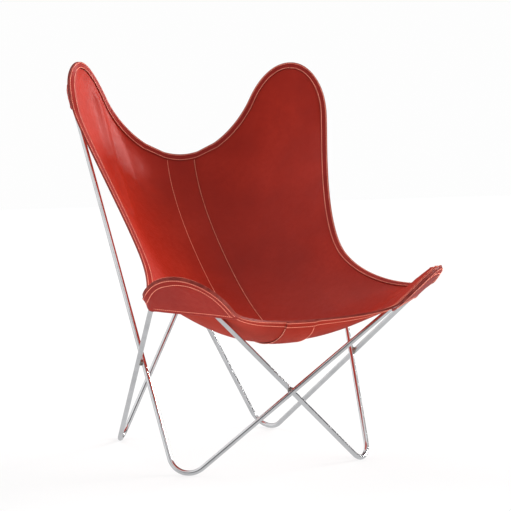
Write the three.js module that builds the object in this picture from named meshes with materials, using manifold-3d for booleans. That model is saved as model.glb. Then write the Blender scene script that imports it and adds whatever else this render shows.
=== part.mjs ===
// Butterfly sling chair: two closed rod loops, welded where they cross, carry a leather sling by four pockets.
// Millimetres, +Z up, the sitter faces -Y. The origin is on the floor under the middle of the chair.

import * as THREE from 'three';
import { mergeVertices } from 'three/addons/utils/BufferGeometryUtils.js';
import Module from 'manifold-3d';

const wasm = await Module();
wasm.setup();

const vec = (x, y, z) => new THREE.Vector3(x, y, z);

// Rods
const rodDiameter = 12;
const rodRadius = rodDiameter / 2;
const footBendRadius = 50; // centre line, at the feet and the low tips
const highBendRadius = 60; // centre line, at the high tips
const weldGap = 0.5; // between two rods where they cross
const footFlat = 0.5; // depth of the worn flat under each foot

// Places where the straight legs would meet if the rod had sharp corners, right-hand side
const footFrontX = 254.4;
const footBackX = 210.6;
const footBackY = 520.6;
const highTipX = 339.4;
const highTipY = 605.5;
const highTipZ = 1039;
const lowTipY = -209.4;
const lowTipZ = 519.7;

// Leather
const leather = 3; // sling halves
const pocketLeather = 2.5;
const edgeStripThickness = 1.6;
const edgeStripWidth = 16.5;
const seatGap = 0.35; // between two pieces that touch
const lapHalfWidth = 36; // the halves overlap this far past the middle
const lapStep = 12; // run over which the lower half comes up beside the lap

// Outline of the sling, right-hand half. Each lobe is half an ellipse in the plane of the two legs it covers.
const highLobe = {
  overhang: 43.9, // past the rod's bend
  halfLength: 180,
  halfWidth: 119.5,
  shift: -6, // of the axis, towards the scoop
  lift: 21.5, // above the plane of the legs
  curl: 13.5, // more lift at the very tip
  scoopTurn: THREE.MathUtils.degToRad(62),
  sideTurn: THREE.MathUtils.degToRad(70.5),
};
const lowLobe = {
  overhang: 22.5,
  halfLength: 139,
  halfWidth: 118,
  shift: 20,
  lift: -12.5,
  curl: 11.5,
  scoopTurn: THREE.MathUtils.degToRad(70),
  sideTurn: THREE.MathUtils.degToRad(56.5),
};
const topMiddleY = 596.5;
const topMiddleZ = 718;
const topMiddleHandle = 101;
const topLobeHandle = 53.5;
const sideLobeHandle = 42;
const waistX = 264; // narrowest place of the seat
const waistY = 169.5;
const waistZ = 489.5;
const waistHandleX = 15;
const waistHandleY = -105.5;
const waistHandleZ = -67.5;
const lowSideHandle = 40;
const frontLobeHandle = 35;
const frontMiddleHandle = 72.5;
const frontMiddleY = -124.5;
const frontMiddleZ = 362.5;
const topMiddle = vec(0, topMiddleY, topMiddleZ);
const waist = vec(waistX, waistY, waistZ);
const waistHandle = vec(waistHandleX, waistHandleY, waistHandleZ);
const frontMiddle = vec(0, frontMiddleY, frontMiddleZ);

// Hang of the leather: how far each knot of a net of sagRows rows lies below, or behind, its neighbours' mean
const seatSag = 0.72;
const backSag = 1;
const backSagShare = 0.35; // of the length, from the top, over which the back bows out
const netColumns = 15; // in each half
const netRows = 32;
const sagRows = 34;
const lapColumns = 3; // net columns that the lap's own columns stand in for
const highPocketCells = 7; // along the rim, from the tip to the mouth
const lowPocketCells = 8;

// Facets
const rodSides = 18;
const bendSteps = 12;
const outlineSteps = 24;
const relaxTurns = 1500;
const contactTurns = 400;
const pocketTurns = 500;
const settleTurns = 20; // contact alone, at the end
const longestMove = 1.5; // of a pocket's knot in one turn, so that it doesn't jump over a rod
const contactMargin = 0.4; // keeps the flat facets clear of the round rods
const smallestHold = 0.1; // share of a push that a cell's free corners take at least

// Welds
const weldHalfWidth = 8.5;
const weldHalfHeight = 7.5;
const weldSides = 20;

// Frame

const mirrored = (point) => vec(-point.x, point.y, point.z);

// Middle, direction and spacing of the shortest line between two straight legs
function nearest(a0, a1, b0, b1) {
  const u = a1.clone().sub(a0);
  const w = b1.clone().sub(b0);
  const normal = u.clone().cross(w).normalize();
  const between = b0.clone().sub(a0);
  const wn = w.clone().cross(normal);
  const un = u.clone().cross(normal);
  const onA = a0.clone().addScaledVector(u, between.dot(wn) / u.dot(wn));
  const onB = b0.clone().addScaledVector(w, -between.dot(un) / w.dot(un));
  return { middle: onA.clone().add(onB).multiplyScalar(0.5), normal, spacing: Math.abs(between.dot(normal)), u, w };
}

// Round bend between two legs that meet at a sharp corner
function bend(corner, endA, endB, radius) {
  const a = endA.clone().sub(corner).normalize();
  const b = endB.clone().sub(corner).normalize();
  const half = a.angleTo(b) / 2;
  const axis = a.clone().add(b).normalize();
  const centre = corner.clone().addScaledVector(axis, radius / Math.sin(half));
  const side = a.clone().sub(b).normalize();
  const turn = Math.PI / 2 - half;
  const normal = a.clone().cross(b).normalize();
  const lowest = centre.z - radius * Math.sqrt(1 - normal.z * normal.z);
  const pointAt = (share) => {
    const angle = turn * (1 - 2 * share);
    return centre.clone()
      .addScaledVector(axis, -radius * Math.cos(angle))
      .addScaledVector(side, radius * Math.sin(angle));
  };
  const directionAt = (share) => {
    const angle = turn * (1 - 2 * share);
    return side.clone().multiplyScalar(-Math.cos(angle)).addScaledVector(axis, -Math.sin(angle));
  };
  return { pointAt, directionAt, lowest, axis, side, half };
}

const settleRounds = 6;

// Corners of the right-hand half for a given reach of the low tip, on the floor and not yet set apart
function cornersFor(lowTipX) {
  const c = {
    footFront: vec(footFrontX, 0, 0),
    footBack: vec(footBackX, footBackY, 0),
    high: vec(highTipX, highTipY, highTipZ),
    low: vec(lowTipX, lowTipY, lowTipZ),
  };
  const loop = { footFront: c.footFront, high: c.high, low: mirrored(c.low), footBack: mirrored(c.footBack) };
  settle(loop);
  c.footBack.z = loop.footBack.z;
  return c;
}

// Lowers or lifts both feet of a loop until their flats lie on the floor
function settle(loop) {
  const rest = rodRadius - footFlat;
  for (let turn = 0; turn < settleRounds; turn++) {
    [loop.footFront, loop.footBack].forEach((foot) => {
      foot.z += rest - bend(foot, loop.high, loop.low, footBendRadius).lowest;
    });
  }
}

// One loop passes outside the other at the front and at the back, so it is moved out by half the rods' spacing
function stepFor(rightFoot, rightTip) {
  const cross = nearest(rightFoot, mirrored(rightTip), mirrored(rightFoot), rightTip);
  return (rodDiameter + weldGap) / 2 / Math.abs(cross.normal.y);
}

function loopsFor(c) {
  const front = stepFor(c.footFront, c.low);
  const back = stepFor(c.footBack, c.high);
  const outward = (corner, step) => corner.clone().add(vec(0, step, 0));
  const outer = {
    high: outward(mirrored(c.high), back),
    footFront: outward(mirrored(c.footFront), -front),
    low: outward(c.low, -front),
    footBack: outward(c.footBack, back),
  };
  const inner = {
    high: outward(c.high, -back),
    footFront: outward(c.footFront, front),
    low: outward(mirrored(c.low), front),
    footBack: outward(mirrored(c.footBack), -back),
  };
  settle(outer);
  settle(inner);
  return { outer, inner };
}

function sideSpacing(lowTipX) {
  const { outer, inner } = loopsFor(cornersFor(lowTipX));
  const cross = nearest(outer.footBack, outer.low, inner.footFront, inner.high);
  const outward = cross.normal.x > 0 ? cross.normal : cross.normal.clone().negate();
  return outer.low.clone().sub(inner.high).dot(outward);
}

// The low tips reach just far enough out for the legs to clear each other at the sides
function findLowTipX() {
  const wanted = rodDiameter + weldGap;
  let x0 = highTipX;
  let x1 = highTipX + rodDiameter;
  for (let turn = 0; turn < 8; turn++) {
    const y0 = sideSpacing(x0) - wanted;
    const y1 = sideSpacing(x1) - wanted;
    if (Math.abs(y1 - y0) > Number.EPSILON) {
      const x2 = x1 - y1 * (x1 - x0) / (y1 - y0);
      x0 = x1;
      x1 = x2;
    }
  }
  return x1;
}

const corners = cornersFor(findLowTipX());
const loops = loopsFor(corners);

// Centre line of a loop as a ring of stations, close together in the bends and none along the straight legs
function loopStations(loop) {
  const order = [loop.high, loop.footFront, loop.low, loop.footBack];
  const radii = [highBendRadius, footBendRadius, footBendRadius, footBendRadius];
  const stations = [];
  order.forEach((corner, index) => {
    const before = order[(index + order.length - 1) % order.length];
    const after = order[(index + 1) % order.length];
    const arc = bend(corner, before, after, radii[index]);
    for (let step = 0; step <= bendSteps; step++) {
      const share = step / bendSteps;
      stations.push({ point: arc.pointAt(share), direction: arc.directionAt(share) });
    }
  });
  return stations;
}

class RodLine extends THREE.Curve {
  constructor(stations) {
    super();
    this.stations = stations;
  }

  stationAt(share) {
    return this.stations[Math.round(share * this.stations.length) % this.stations.length];
  }

  getPointAt(share, target = vec(0, 0, 0)) {
    return target.copy(this.stationAt(share).point);
  }

  getTangentAt(share, target = vec(0, 0, 0)) {
    return target.copy(this.stationAt(share).direction);
  }
}

// Solids

function solidOf(geometry) {
  const bare = geometry.clone();
  bare.deleteAttribute('normal');
  bare.deleteAttribute('uv');
  const merged = mergeVertices(bare);
  const vertProperties = new Float32Array(merged.attributes.position.array);
  const triVerts = new Uint32Array(merged.index.array);
  return new wasm.Manifold(new wasm.Mesh({ numProp: 3, vertProperties, triVerts }));
}

function geometryOf(solid) {
  const mesh = solid.getMesh();
  const geometry = new THREE.BufferGeometry();
  geometry.setAttribute('position', new THREE.BufferAttribute(mesh.vertProperties, mesh.numProp));
  geometry.setIndex(new THREE.BufferAttribute(mesh.triVerts, 1));
  geometry.computeVertexNormals();
  return geometry;
}

function rodGeometry(loop) {
  const stations = loopStations(loop);
  const tube = solidOf(new THREE.TubeGeometry(new RodLine(stations), stations.length, rodRadius, rodSides, true));
  const span = 2 * (highTipX + highTipY);
  const floor = new THREE.BoxGeometry(span, span, rodDiameter);
  floor.translate(0, 0, -rodDiameter / 2);
  return geometryOf(tube.subtract(solidOf(floor)));
}

// Bead round the crossing of two legs: a lens cut back to just clear of both rods
function weldGeometry(a0, a1, b0, b1) {
  const cross = nearest(a0, a1, b0, b1);
  const lens = new THREE.SphereGeometry(1, weldSides, weldSides / 2);
  lens.scale(weldHalfWidth, weldHalfHeight, weldHalfWidth);
  lens.applyQuaternion(new THREE.Quaternion().setFromUnitVectors(vec(0, 1, 0), cross.normal));
  lens.translate(cross.middle.x, cross.middle.y, cross.middle.z);
  let bead = solidOf(lens);
  [[a0, cross.u], [b0, cross.w]].forEach(([start, along]) => {
    const direction = along.clone().normalize();
    const foot = start.clone().addScaledVector(direction, cross.middle.clone().sub(start).dot(direction));
    const groove = new THREE.CylinderGeometry(
      rodRadius + seatGap, rodRadius + seatGap, 4 * weldHalfWidth, 2 * rodSides);
    groove.applyQuaternion(new THREE.Quaternion().setFromUnitVectors(vec(0, 1, 0), direction));
    groove.translate(foot.x, foot.y, foot.z);
    bead = bead.subtract(solidOf(groove));
  });
  return geometryOf(bead);
}

// Outline

// Axes of a tip: along its middle, across it towards the scoop, and up out of the plane of its legs
function tipAxes(corner, scoopEnd, sideEnd, radius) {
  const arc = bend(corner, scoopEnd, sideEnd, radius);
  const normal = arc.side.clone().cross(arc.axis);
  if (normal.z < 0) {
    normal.negate();
  }
  return { corner, along: arc.axis, across: arc.side, normal, bendTop: radius * (1 / Math.sin(arc.half) - 1) };
}

const highTip = tipAxes(corners.high, mirrored(corners.footBack), corners.footFront, highBendRadius);
const lowTip = tipAxes(corners.low, mirrored(corners.footFront), corners.footBack, footBendRadius);

function lobeArc(tip, lobe) {
  const centre = tip.bendTop - lobe.overhang + lobe.halfLength;
  const pointAt = (turn) => tip.corner.clone()
    .addScaledVector(tip.along, centre - lobe.halfLength * Math.cos(turn))
    .addScaledVector(tip.across, lobe.shift + lobe.halfWidth * Math.sin(turn))
    .addScaledVector(tip.normal, lobe.lift + lobe.curl * Math.cos(turn) ** 2);
  const directionAt = (turn) => tip.along.clone()
    .multiplyScalar(lobe.halfLength * Math.sin(turn))
    .addScaledVector(tip.across, lobe.halfWidth * Math.cos(turn))
    .addScaledVector(tip.normal, -lobe.curl * Math.sin(2 * turn))
    .normalize();
  return { pointAt, directionAt };
}

const highArc = lobeArc(highTip, highLobe);
const lowArc = lobeArc(lowTip, lowLobe);

function scoop(from, fromHandle, to, toHandle) {
  const curve = new THREE.CubicBezierCurve3(from, from.clone().add(fromHandle), to.clone().add(toHandle), to);
  return curve.getPoints(outlineSteps);
}

function arcPoints(arc, from, to) {
  const points = [];
  for (let step = 0; step <= outlineSteps; step++) {
    points.push(arc.pointAt(from + (to - from) * step / outlineSteps));
  }
  return points;
}

function joined(...runs) {
  return runs.flatMap((run, index) => (index > 0 ? run.slice(1) : run));
}

// The right-hand outline in three runs: top middle to high tip, high tip to low tip, low tip to front middle
function outlineRuns() {
  const scoopEnd = highLobe.scoopTurn;
  const sideEnd = -highLobe.sideTurn;
  const lowSide = -lowLobe.sideTurn;
  const lowFront = lowLobe.scoopTurn;
  const top = scoop(
    topMiddle, vec(topMiddleHandle, 0, 0),
    highArc.pointAt(scoopEnd), highArc.directionAt(scoopEnd).multiplyScalar(topLobeHandle));
  const upperSide = scoop(
    highArc.pointAt(sideEnd), highArc.directionAt(sideEnd).multiplyScalar(-sideLobeHandle),
    waist, waistHandle.clone().negate());
  const lowerSide = scoop(
    waist, waistHandle,
    lowArc.pointAt(lowSide), lowArc.directionAt(lowSide).multiplyScalar(-lowSideHandle));
  const front = scoop(
    lowArc.pointAt(lowFront), lowArc.directionAt(lowFront).multiplyScalar(frontLobeHandle),
    frontMiddle, vec(frontMiddleHandle, 0, 0));
  return [
    joined(top, arcPoints(highArc, scoopEnd, 0)),
    joined(arcPoints(highArc, 0, sideEnd), upperSide, lowerSide, arcPoints(lowArc, lowSide, 0)),
    joined(arcPoints(lowArc, 0, lowFront), front),
  ];
}

// Points spaced along a run of points, closer together at its lobe ends
function spaced(run, count, shareOf) {
  const lengths = [0];
  for (let index = 1; index < run.length; index++) {
    lengths.push(lengths[index - 1] + run[index].distanceTo(run[index - 1]));
  }
  const points = [];
  let index = 1;
  for (let step = 0; step <= count; step++) {
    const wanted = shareOf(step / count) * lengths[lengths.length - 1];
    while (index < run.length - 1 && lengths[index] < wanted) {
      index++;
    }
    const share = (wanted - lengths[index - 1]) / (lengths[index] - lengths[index - 1]);
    points.push(run[index - 1].clone().lerp(run[index], share));
  }
  return points;
}

const endCrowding = 0.25;
const sideCrowding = 0.4;
const crowdEnd = (share) => share + endCrowding * Math.sin(Math.PI * share) / Math.PI;
const crowdStart = (share) => 1 - crowdEnd(1 - share);
const crowdBoth = (share) => share - sideCrowding * Math.sin(2 * Math.PI * share) / (2 * Math.PI);

// Net of the right-hand half: column 0 is the middle, row 0 the top scoop; edge[k] is the outline beside rim knot k
function hangNet() {
  const [topRun, sideRun, frontRun] = outlineRuns();
  const top = spaced(topRun, netColumns, crowdEnd);
  const side = spaced(sideRun, netRows, crowdBoth);
  const front = spaced(frontRun, netColumns, crowdStart);
  const edge = [...top, ...side.slice(1), ...front.slice(1)];
  const rim = [];
  for (let i = 0; i < netColumns; i++) {
    rim.push([i, 0]);
  }
  for (let j = 0; j < netRows; j++) {
    rim.push([netColumns, j]);
  }
  for (let i = netColumns; i >= 0; i--) {
    rim.push([i, netRows]);
  }
  const tangents = edge.map((point, k) => {
    const before = k > 0 ? edge[k - 1] : mirrored(edge[1]);
    const after = k < edge.length - 1 ? edge[k + 1] : mirrored(edge[k - 1]);
    return after.clone().sub(before).normalize();
  });
  const net = [];
  for (let i = 0; i <= netColumns; i++) {
    const u = i / netColumns;
    net.push([]);
    for (let j = 0; j <= netRows; j++) {
      const v = j / netRows;
      const middle = topMiddle.clone().lerp(frontMiddle, v);
      const across = middle.lerp(side[j], u);
      const along = top[i].clone().lerp(front[netColumns - i], v);
      net[i].push(across.add(along).multiplyScalar(0.5));
    }
  }
  const inside = ([i, j]) => [Math.min(i, netColumns - 1), Math.min(Math.max(j, 1), netRows - 1)];
  const sagScale = (sagRows / netRows) ** 2;
  const obstacles = rodSegments();
  const edgePoints = new Set(edge);
  const cells = netCells(net);
  for (let k = 0; k < rim.length - 1; k++) {
    const [inner, next] = [rim[k], rim[k + 1]].map(([i, j]) => net[i][j]);
    cells.push(...bothWays(edge[k], edge[k + 1], next, inner));
  }
  for (let turn = 0; turn < relaxTurns; turn++) {
    for (let j = 1; j < netRows; j++) {
      const v = j / netRows;
      const bow = backSag * sagScale * Math.max(1 - v / backSagShare, 0);
      for (let i = 0; i < netColumns; i++) {
        const left = i > 0 ? net[i - 1][j] : mirrored(net[1][j]);
        net[i][j].copy(left).add(net[i + 1][j]).add(net[i][j - 1]).add(net[i][j + 1]).multiplyScalar(0.25);
        net[i][j].y += bow;
        net[i][j].z -= seatSag * sagScale;
      }
    }
    rim.forEach(([i, j], k) => {
      const [a, b] = inside([i, j]);
      const inward = net[a][b].clone().sub(edge[k]);
      inward.addScaledVector(tangents[k], -inward.dot(tangents[k])).normalize();
      net[i][j].copy(edge[k]).addScaledVector(inward, edgeStripWidth);
    });
    if (turn >= relaxTurns - contactTurns) {
      pushOff(cells, obstacles, rodRadius + leather + seatGap + contactMargin, edgePoints, netSamples);
    }
    net.forEach((column) => column.forEach((point) => {
      point.x = Math.max(point.x, 0);
    }));
    net[0].forEach((point) => {
      point.x = 0;
    });
  }
  return { net, edge, rim };
}

// Triangles of a cell, split along either diagonal
function bothWays(a, b, c, d) {
  return [[a, b, c], [a, c, d], [a, b, d], [b, c, d]];
}

function netCells(net) {
  const cells = [];
  for (let i = 0; i < netColumns; i++) {
    for (let j = 0; j < netRows; j++) {
      cells.push(...bothWays(net[i][j], net[i + 1][j], net[i + 1][j + 1], net[i][j + 1]));
    }
  }
  return cells;
}

// Straight pieces of both loops that run under the right-hand half, the left-hand ones mirrored onto it
function rodSegments() {
  const segments = [];
  [loops.outer, loops.inner].forEach((loop) => {
    const stations = loopStations(loop);
    stations.forEach((station, index) => {
      const next = stations[(index + 1) % stations.length];
      segments.push([station.point, next.point]);
      segments.push([mirrored(station.point), mirrored(next.point)]);
    });
  });
  const lowestUse = footBendRadius + rodDiameter;
  return segments.filter(([a, b]) => Math.max(a.z, b.z) > lowestUse && Math.max(a.x, b.x) > 0);
}

const workLine = new THREE.Line3();
const workPoint = vec(0, 0, 0);
const workFoot = vec(0, 0, 0);

// Weights of a triangle's corners at evenly spread points of it
function samples(steps) {
  const weights = [];
  for (let p = 0; p <= steps; p++) {
    for (let q = 0; p + q <= steps; q++) {
      weights.push([1 - (p + q) / steps, p / steps, q / steps]);
    }
  }
  return weights;
}

const netSamples = samples(4);
const pocketSamples = samples(9);
const roofSteps = 3;

// Moves the free corners of triangles until each sampled point is clear of the rods
function pushOff(cells, segments, distance, fixed, spots) {
  const box = new THREE.Box3();
  const other = new THREE.Box3();
  cells.forEach((points) => {
    box.setFromPoints(points).expandByScalar(distance);
    const near = segments.filter((ends) => box.intersectsBox(other.setFromPoints(ends)));
    if (near.length === 0) {
      return;
    }
    spots.forEach((weights) => near.forEach(([start, end]) => {
      workPoint.set(0, 0, 0);
      points.forEach((point, index) => workPoint.addScaledVector(point, weights[index]));
      workLine.set(start, end).closestPointToPoint(workPoint, true, workFoot);
      workPoint.sub(workFoot);
      const reach = workPoint.length();
      const total = points.reduce((sum, point, index) => sum + (fixed.has(point) ? 0 : weights[index] ** 2), 0);
      if (reach < distance && reach > 0 && total > 0) {
        workPoint.multiplyScalar((distance - reach) / reach / Math.max(total, smallestHold));
        points.forEach((point, index) => {
          if (!fixed.has(point)) {
            point.addScaledVector(workPoint, weights[index]);
          }
        });
      }
    }));
  });
}

const hung = hangNet();

// Sheet: the net with its lap columns and its edge, as knots that hold a point on the upper face and a normal

const rimColumn = netColumns;
const edgeColumn = rimColumn + 1;
const topRow = 1;
const frontRow = topRow + netRows;
const edgeRow = frontRow + 1;

// Point of a row of points, ordered from the middle outwards, at a given distance from the middle
function atWidth(row, width) {
  const next = row.findIndex((point) => point.x >= width);
  const last = Math.max(next - 1, 0);
  const share = (width - row[last].x) / (row[next].x - row[last].x);
  return row[last].clone().lerp(row[next], next === last ? 0 : share);
}

function sheetKnots() {
  const rows = [hung.edge.slice(0, rimColumn + 1)];
  for (let j = 0; j <= netRows; j++) {
    rows.push(hung.net.map((column) => column[j]));
  }
  rows.push(hung.edge.slice(rimColumn + netRows).reverse());
  const widths = [0, lapHalfWidth, lapHalfWidth + lapStep];
  const knots = [];
  for (let c = 0; c <= rimColumn; c++) {
    knots.push(rows.map((row) => {
      const point = c < lapColumns ? (c > 0 ? atWidth(row, widths[c]) : row[0].clone()) : row[c].clone();
      return { point, normal: vec(0, 0, 0) };
    }));
  }
  const side = [];
  for (let j = 0; j <= netRows; j++) {
    side[topRow + j] = { point: hung.edge[rimColumn + j].clone(), normal: vec(0, 0, 0) };
  }
  side[topRow] = knots[rimColumn][0];
  side[frontRow] = knots[rimColumn][edgeRow];
  knots.push(side);
  return knots;
}

const rightKnots = sheetKnots();

// Two triangles over the cell between two columns and two rows of the right-hand half
function cell(column, row) {
  const a = rightKnots[column][row];
  const b = rightKnots[column][row + 1];
  const c = rightKnots[column + 1][row + 1];
  const d = rightKnots[column + 1][row];
  return [[a, b, c], [a, c, d]];
}

function rowsBeside(column) {
  return column < rimColumn ? [0, edgeRow] : [topRow, frontRow];
}

function facesBetween(fromColumn, toColumn) {
  const faces = [];
  for (let column = fromColumn; column < toColumn; column++) {
    const [first, last] = rowsBeside(column);
    for (let row = first; row < last; row++) {
      faces.push(...cell(column, row));
    }
  }
  return faces;
}

function setNormals(faces) {
  const knots = new Set(faces.flat());
  knots.forEach((knot) => knot.normal.set(0, 0, 0));
  const edgeA = vec(0, 0, 0);
  const edgeB = vec(0, 0, 0);
  faces.forEach(([a, b, c]) => {
    edgeA.subVectors(b.point, a.point);
    edgeB.subVectors(c.point, a.point);
    const normal = edgeA.clone().cross(edgeB).normalize();
    [a, b, c].forEach((knot) => knot.normal.add(normal));
  });
  knots.forEach((knot) => {
    if (knot.point.x === 0) {
      knot.normal.x = 0;
    }
    knot.normal.normalize();
  });
}

setNormals(facesBetween(0, edgeColumn));

// The left-hand half is the mirror image; the knots on the middle line belong to both
const twins = new Map();

function twinOf(knot) {
  if (!twins.has(knot)) {
    const twin = { point: mirrored(knot.point), normal: mirrored(knot.normal) };
    twins.set(knot, knot.point.x === 0 ? knot : twin);
  }
  return twins.get(knot);
}

function mirroredFaces(faces) {
  return faces.map(([a, b, c]) => [twinOf(a), twinOf(c), twinOf(b)]);
}

// Closed solid between two offsets, along the normals, of a patch of knots
function slab(faces, upper, lower) {
  const knots = [...new Set(faces.flat())];
  const place = new Map(knots.map((knot, index) => [knot, index]));
  const count = knots.length;
  const positions = [];
  [upper, lower].forEach((offset) => knots.forEach((knot) => {
    positions.push(...knot.point.clone().addScaledVector(knot.normal, offset(knot)).toArray());
  }));
  const triangles = [];
  const open = new Map();
  faces.forEach((face) => {
    const [a, b, c] = face.map((knot) => place.get(knot));
    triangles.push(a, b, c, c + count, b + count, a + count);
    [[a, b], [b, c], [c, a]].forEach(([from, to]) => {
      if (!open.delete(`${to} ${from}`)) {
        open.set(`${from} ${to}`, [from, to]);
      }
    });
  });
  open.forEach(([from, to]) => {
    triangles.push(from, from + count, to + count, from, to + count, to);
  });
  const geometry = new THREE.BufferGeometry();
  geometry.setAttribute('position', new THREE.Float32BufferAttribute(positions, 3));
  geometry.setIndex(triangles);
  geometry.computeVertexNormals();
  return geometry;
}

function mirrorGeometry(geometry) {
  const copy = geometry.clone();
  copy.scale(-1, 1, 1);
  const index = copy.index.array;
  for (let start = 0; start < index.length; start += 3) {
    [index[start + 1], index[start + 2]] = [index[start + 2], index[start + 1]];
  }
  copy.computeVertexNormals();
  return copy;
}

// Sling halves. The left half lies on top of the right one in the lap.
const underLap = leather + seatGap;

function slingHalfRight() {
  const faces = [...mirroredFaces(facesBetween(0, 1)), ...facesBetween(0, edgeColumn)];
  const drop = (knot) => (knot.point.x <= lapHalfWidth ? underLap : 0);
  return slab(faces, (knot) => -drop(knot), (knot) => -drop(knot) - leather);
}

function slingHalfLeft() {
  const faces = [...mirroredFaces(facesBetween(0, edgeColumn)), ...facesBetween(0, 1)];
  return slab(faces, () => 0, () => -leather);
}

// Edge strips lie on the upper face, from the cut edge to the rim; their ends stop short of each other at the tips

function endKnot(knot, towards) {
  const share = seatGap / knot.point.distanceTo(towards.point);
  return {
    point: knot.point.clone().lerp(towards.point, share),
    normal: knot.normal.clone().lerp(towards.normal, share).normalize(),
  };
}

// Faces with each knot of the first list replaced by a point just short of it, on the way to the second list's
function shortened(faces, knots, towards) {
  const ends = new Map(knots.map((knot, index) => [knot, endKnot(knot, towards[index])]));
  return faces.map((face) => face.map((knot) => ends.get(knot) ?? knot));
}

function stripSlab(faces) {
  return slab(faces, () => seatGap + edgeStripThickness, () => seatGap);
}

// Strip over the whole width, between one row of cells' two rows of knots
function crossStrip(row) {
  const faces = [];
  for (let column = 0; column < rimColumn; column++) {
    faces.push(...cell(column, row));
  }
  const ends = [row, row + 1].map((place) => rightKnots[rimColumn][place]);
  const towards = [row, row + 1].map((place) => rightKnots[rimColumn - 1][place]);
  const half = shortened(faces, ends, towards);
  return stripSlab([...half, ...mirroredFaces(half)]);
}

function sideStrip() {
  const columns = [rimColumn, edgeColumn];
  const rowOf = (row) => columns.map((column) => rightKnots[column][row]);
  const faces = shortened(facesBetween(rimColumn, edgeColumn), rowOf(topRow), rowOf(topRow + 1));
  return stripSlab(shortened(faces, rowOf(frontRow), rowOf(frontRow - 1)));
}

// Pockets. Their leather is sewn under the edge and passes behind the rods, open towards the feet.

// Points of the sling's upper face over a pocket, each with its normal
function roofOver(cells, firstRow, rowStep) {
  const roof = [];
  const shares = [0, 1 / roofSteps, 2 / roofSteps];
  for (let a = 0; a <= cells; a++) {
    for (let b = 0; b <= cells; b++) {
      const corners4 = [[a, b], [a + 1, b], [a + 1, b + 1], [a, b + 1]].map(
        ([p, q]) => rightKnots[rimColumn - p][firstRow + q * rowStep]);
      shares.forEach((u) => shares.forEach((v) => {
        const weights = [(1 - u) * (1 - v), u * (1 - v), u * v, (1 - u) * v];
        const point = vec(0, 0, 0);
        const normal = vec(0, 0, 0);
        corners4.forEach((knot, index) => {
          point.addScaledVector(knot.point, weights[index]);
          normal.addScaledVector(knot.normal, weights[index]);
        });
        roof.push({ point, normal: normal.normalize() });
      }));
    }
  }
  return roof;
}

function keepUnder(point, roof, distance) {
  let nearestKnot = roof[0];
  let least = Infinity;
  roof.forEach((knot) => {
    const reach = knot.point.distanceToSquared(point);
    if (reach < least) {
      least = reach;
      nearestKnot = knot;
    }
  });
  const height = point.clone().sub(nearestKnot.point).dot(nearestKnot.normal);
  if (height > -distance) {
    point.addScaledVector(nearestKnot.normal, -distance - height);
  }
}

function pocketFaces(cells, knots, topEdge, sideEdge) {
  const faces = [];
  const quad = (p, q, r, s) => faces.push([p, q, r], [p, r, s]);
  for (let a = 0; a < cells; a++) {
    quad(topEdge[a], topEdge[a + 1], knots[a + 1][0], knots[a][0]);
    quad(sideEdge[a], knots[0][a], knots[0][a + 1], sideEdge[a + 1]);
    for (let b = 0; a + b < cells; b++) {
      if (a + b < cells - 1) {
        quad(knots[a][b], knots[a + 1][b], knots[a + 1][b + 1], knots[a][b + 1]);
      } else {
        faces.push([knots[a][b], knots[a + 1][b], knots[a][b + 1]]);
      }
    }
  }
  return faces;
}

function pocket(cells, tip, firstRow, rowStep, edgeLine) {
  const under = (knot) => ({
    point: knot.point.clone().addScaledVector(knot.normal, -underLap),
    normal: knot.normal.clone(),
  });
  const knots = [];
  const topEdge = [];
  const sideEdge = [];
  for (let a = 0; a <= cells; a++) {
    knots.push([]);
    for (let b = 0; a + b <= cells; b++) {
      knots[a].push(under(rightKnots[rimColumn - a][firstRow + b * rowStep]));
    }
    topEdge.push(under(rightKnots[rimColumn - a][edgeLine]));
    sideEdge.push(a > 0 ? under(rightKnots[edgeColumn][firstRow + a * rowStep]) : topEdge[0]);
  }
  const points = knots.map((column) => column.map((knot) => knot.point));
  const free = points.flat();
  const reach = (point) => point.clone().sub(tip.corner).dot(tip.along);
  const height = (point) => point.clone().sub(tip.corner).dot(tip.normal);
  const lowest = -2 * rodDiameter;
  free.forEach((point) => point.addScaledVector(tip.normal, Math.min(lowest - height(point), 0)));
  const roof = roofOver(cells, firstRow, rowStep);
  const faces = pocketFaces(cells, knots, topEdge, sideEdge);
  const edges = [topEdge, sideEdge].map((row) => row.map((knot) => knot.point));
  const fixed = new Set(edges.flat());
  const pointAt = (a, b) => (b < 0 ? edges[0][a] : (a < 0 ? edges[1][b] : points[a][b]));
  const meshCells = faces.map((face) => face.map((knot) => knot.point));
  const mouthFrom = reach(points[0][cells]);
  const mouthTo = reach(points[cells][0]);
  const segments = rodSegments();
  for (let turn = 0; turn < pocketTurns; turn++) {
    for (let a = 0; a <= cells; a++) {
      for (let b = 0; a + b <= cells; b++) {
        const point = points[a][b];
        const onMouth = a + b === cells;
        const others = [pointAt(a - 1, b), pointAt(a, b - 1)];
        others.push(...(onMouth
          ? [points[a - 1]?.[b + 1], points[a + 1]?.[b - 1]].filter((other) => other)
          : [points[a + 1][b], points[a][b + 1]]));
        const wanted = vec(0, 0, 0);
        others.forEach((other) => wanted.addScaledVector(other, 1 / others.length));
        if (onMouth) {
          wanted.addScaledVector(tip.along, mouthFrom + (mouthTo - mouthFrom) * a / cells - reach(wanted));
        }
        point.add(wanted.sub(point).clampLength(0, longestMove));
      }
    }
    free.forEach((point) => keepUnder(point, roof, underLap + contactMargin));
    pushOff(meshCells, segments, rodRadius + seatGap + contactMargin, fixed, pocketSamples);
  }
  for (let turn = 0; turn < settleTurns; turn++) {
    pushOff(meshCells, segments, rodRadius + seatGap + contactMargin, fixed, pocketSamples);
  }
  const turned = rowStep > 0 ? faces : faces.map(([a, b, c]) => [a, c, b]);
  setNormals(turned);
  return slab(turned, () => 0, () => -pocketLeather);
}

// Chair

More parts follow.
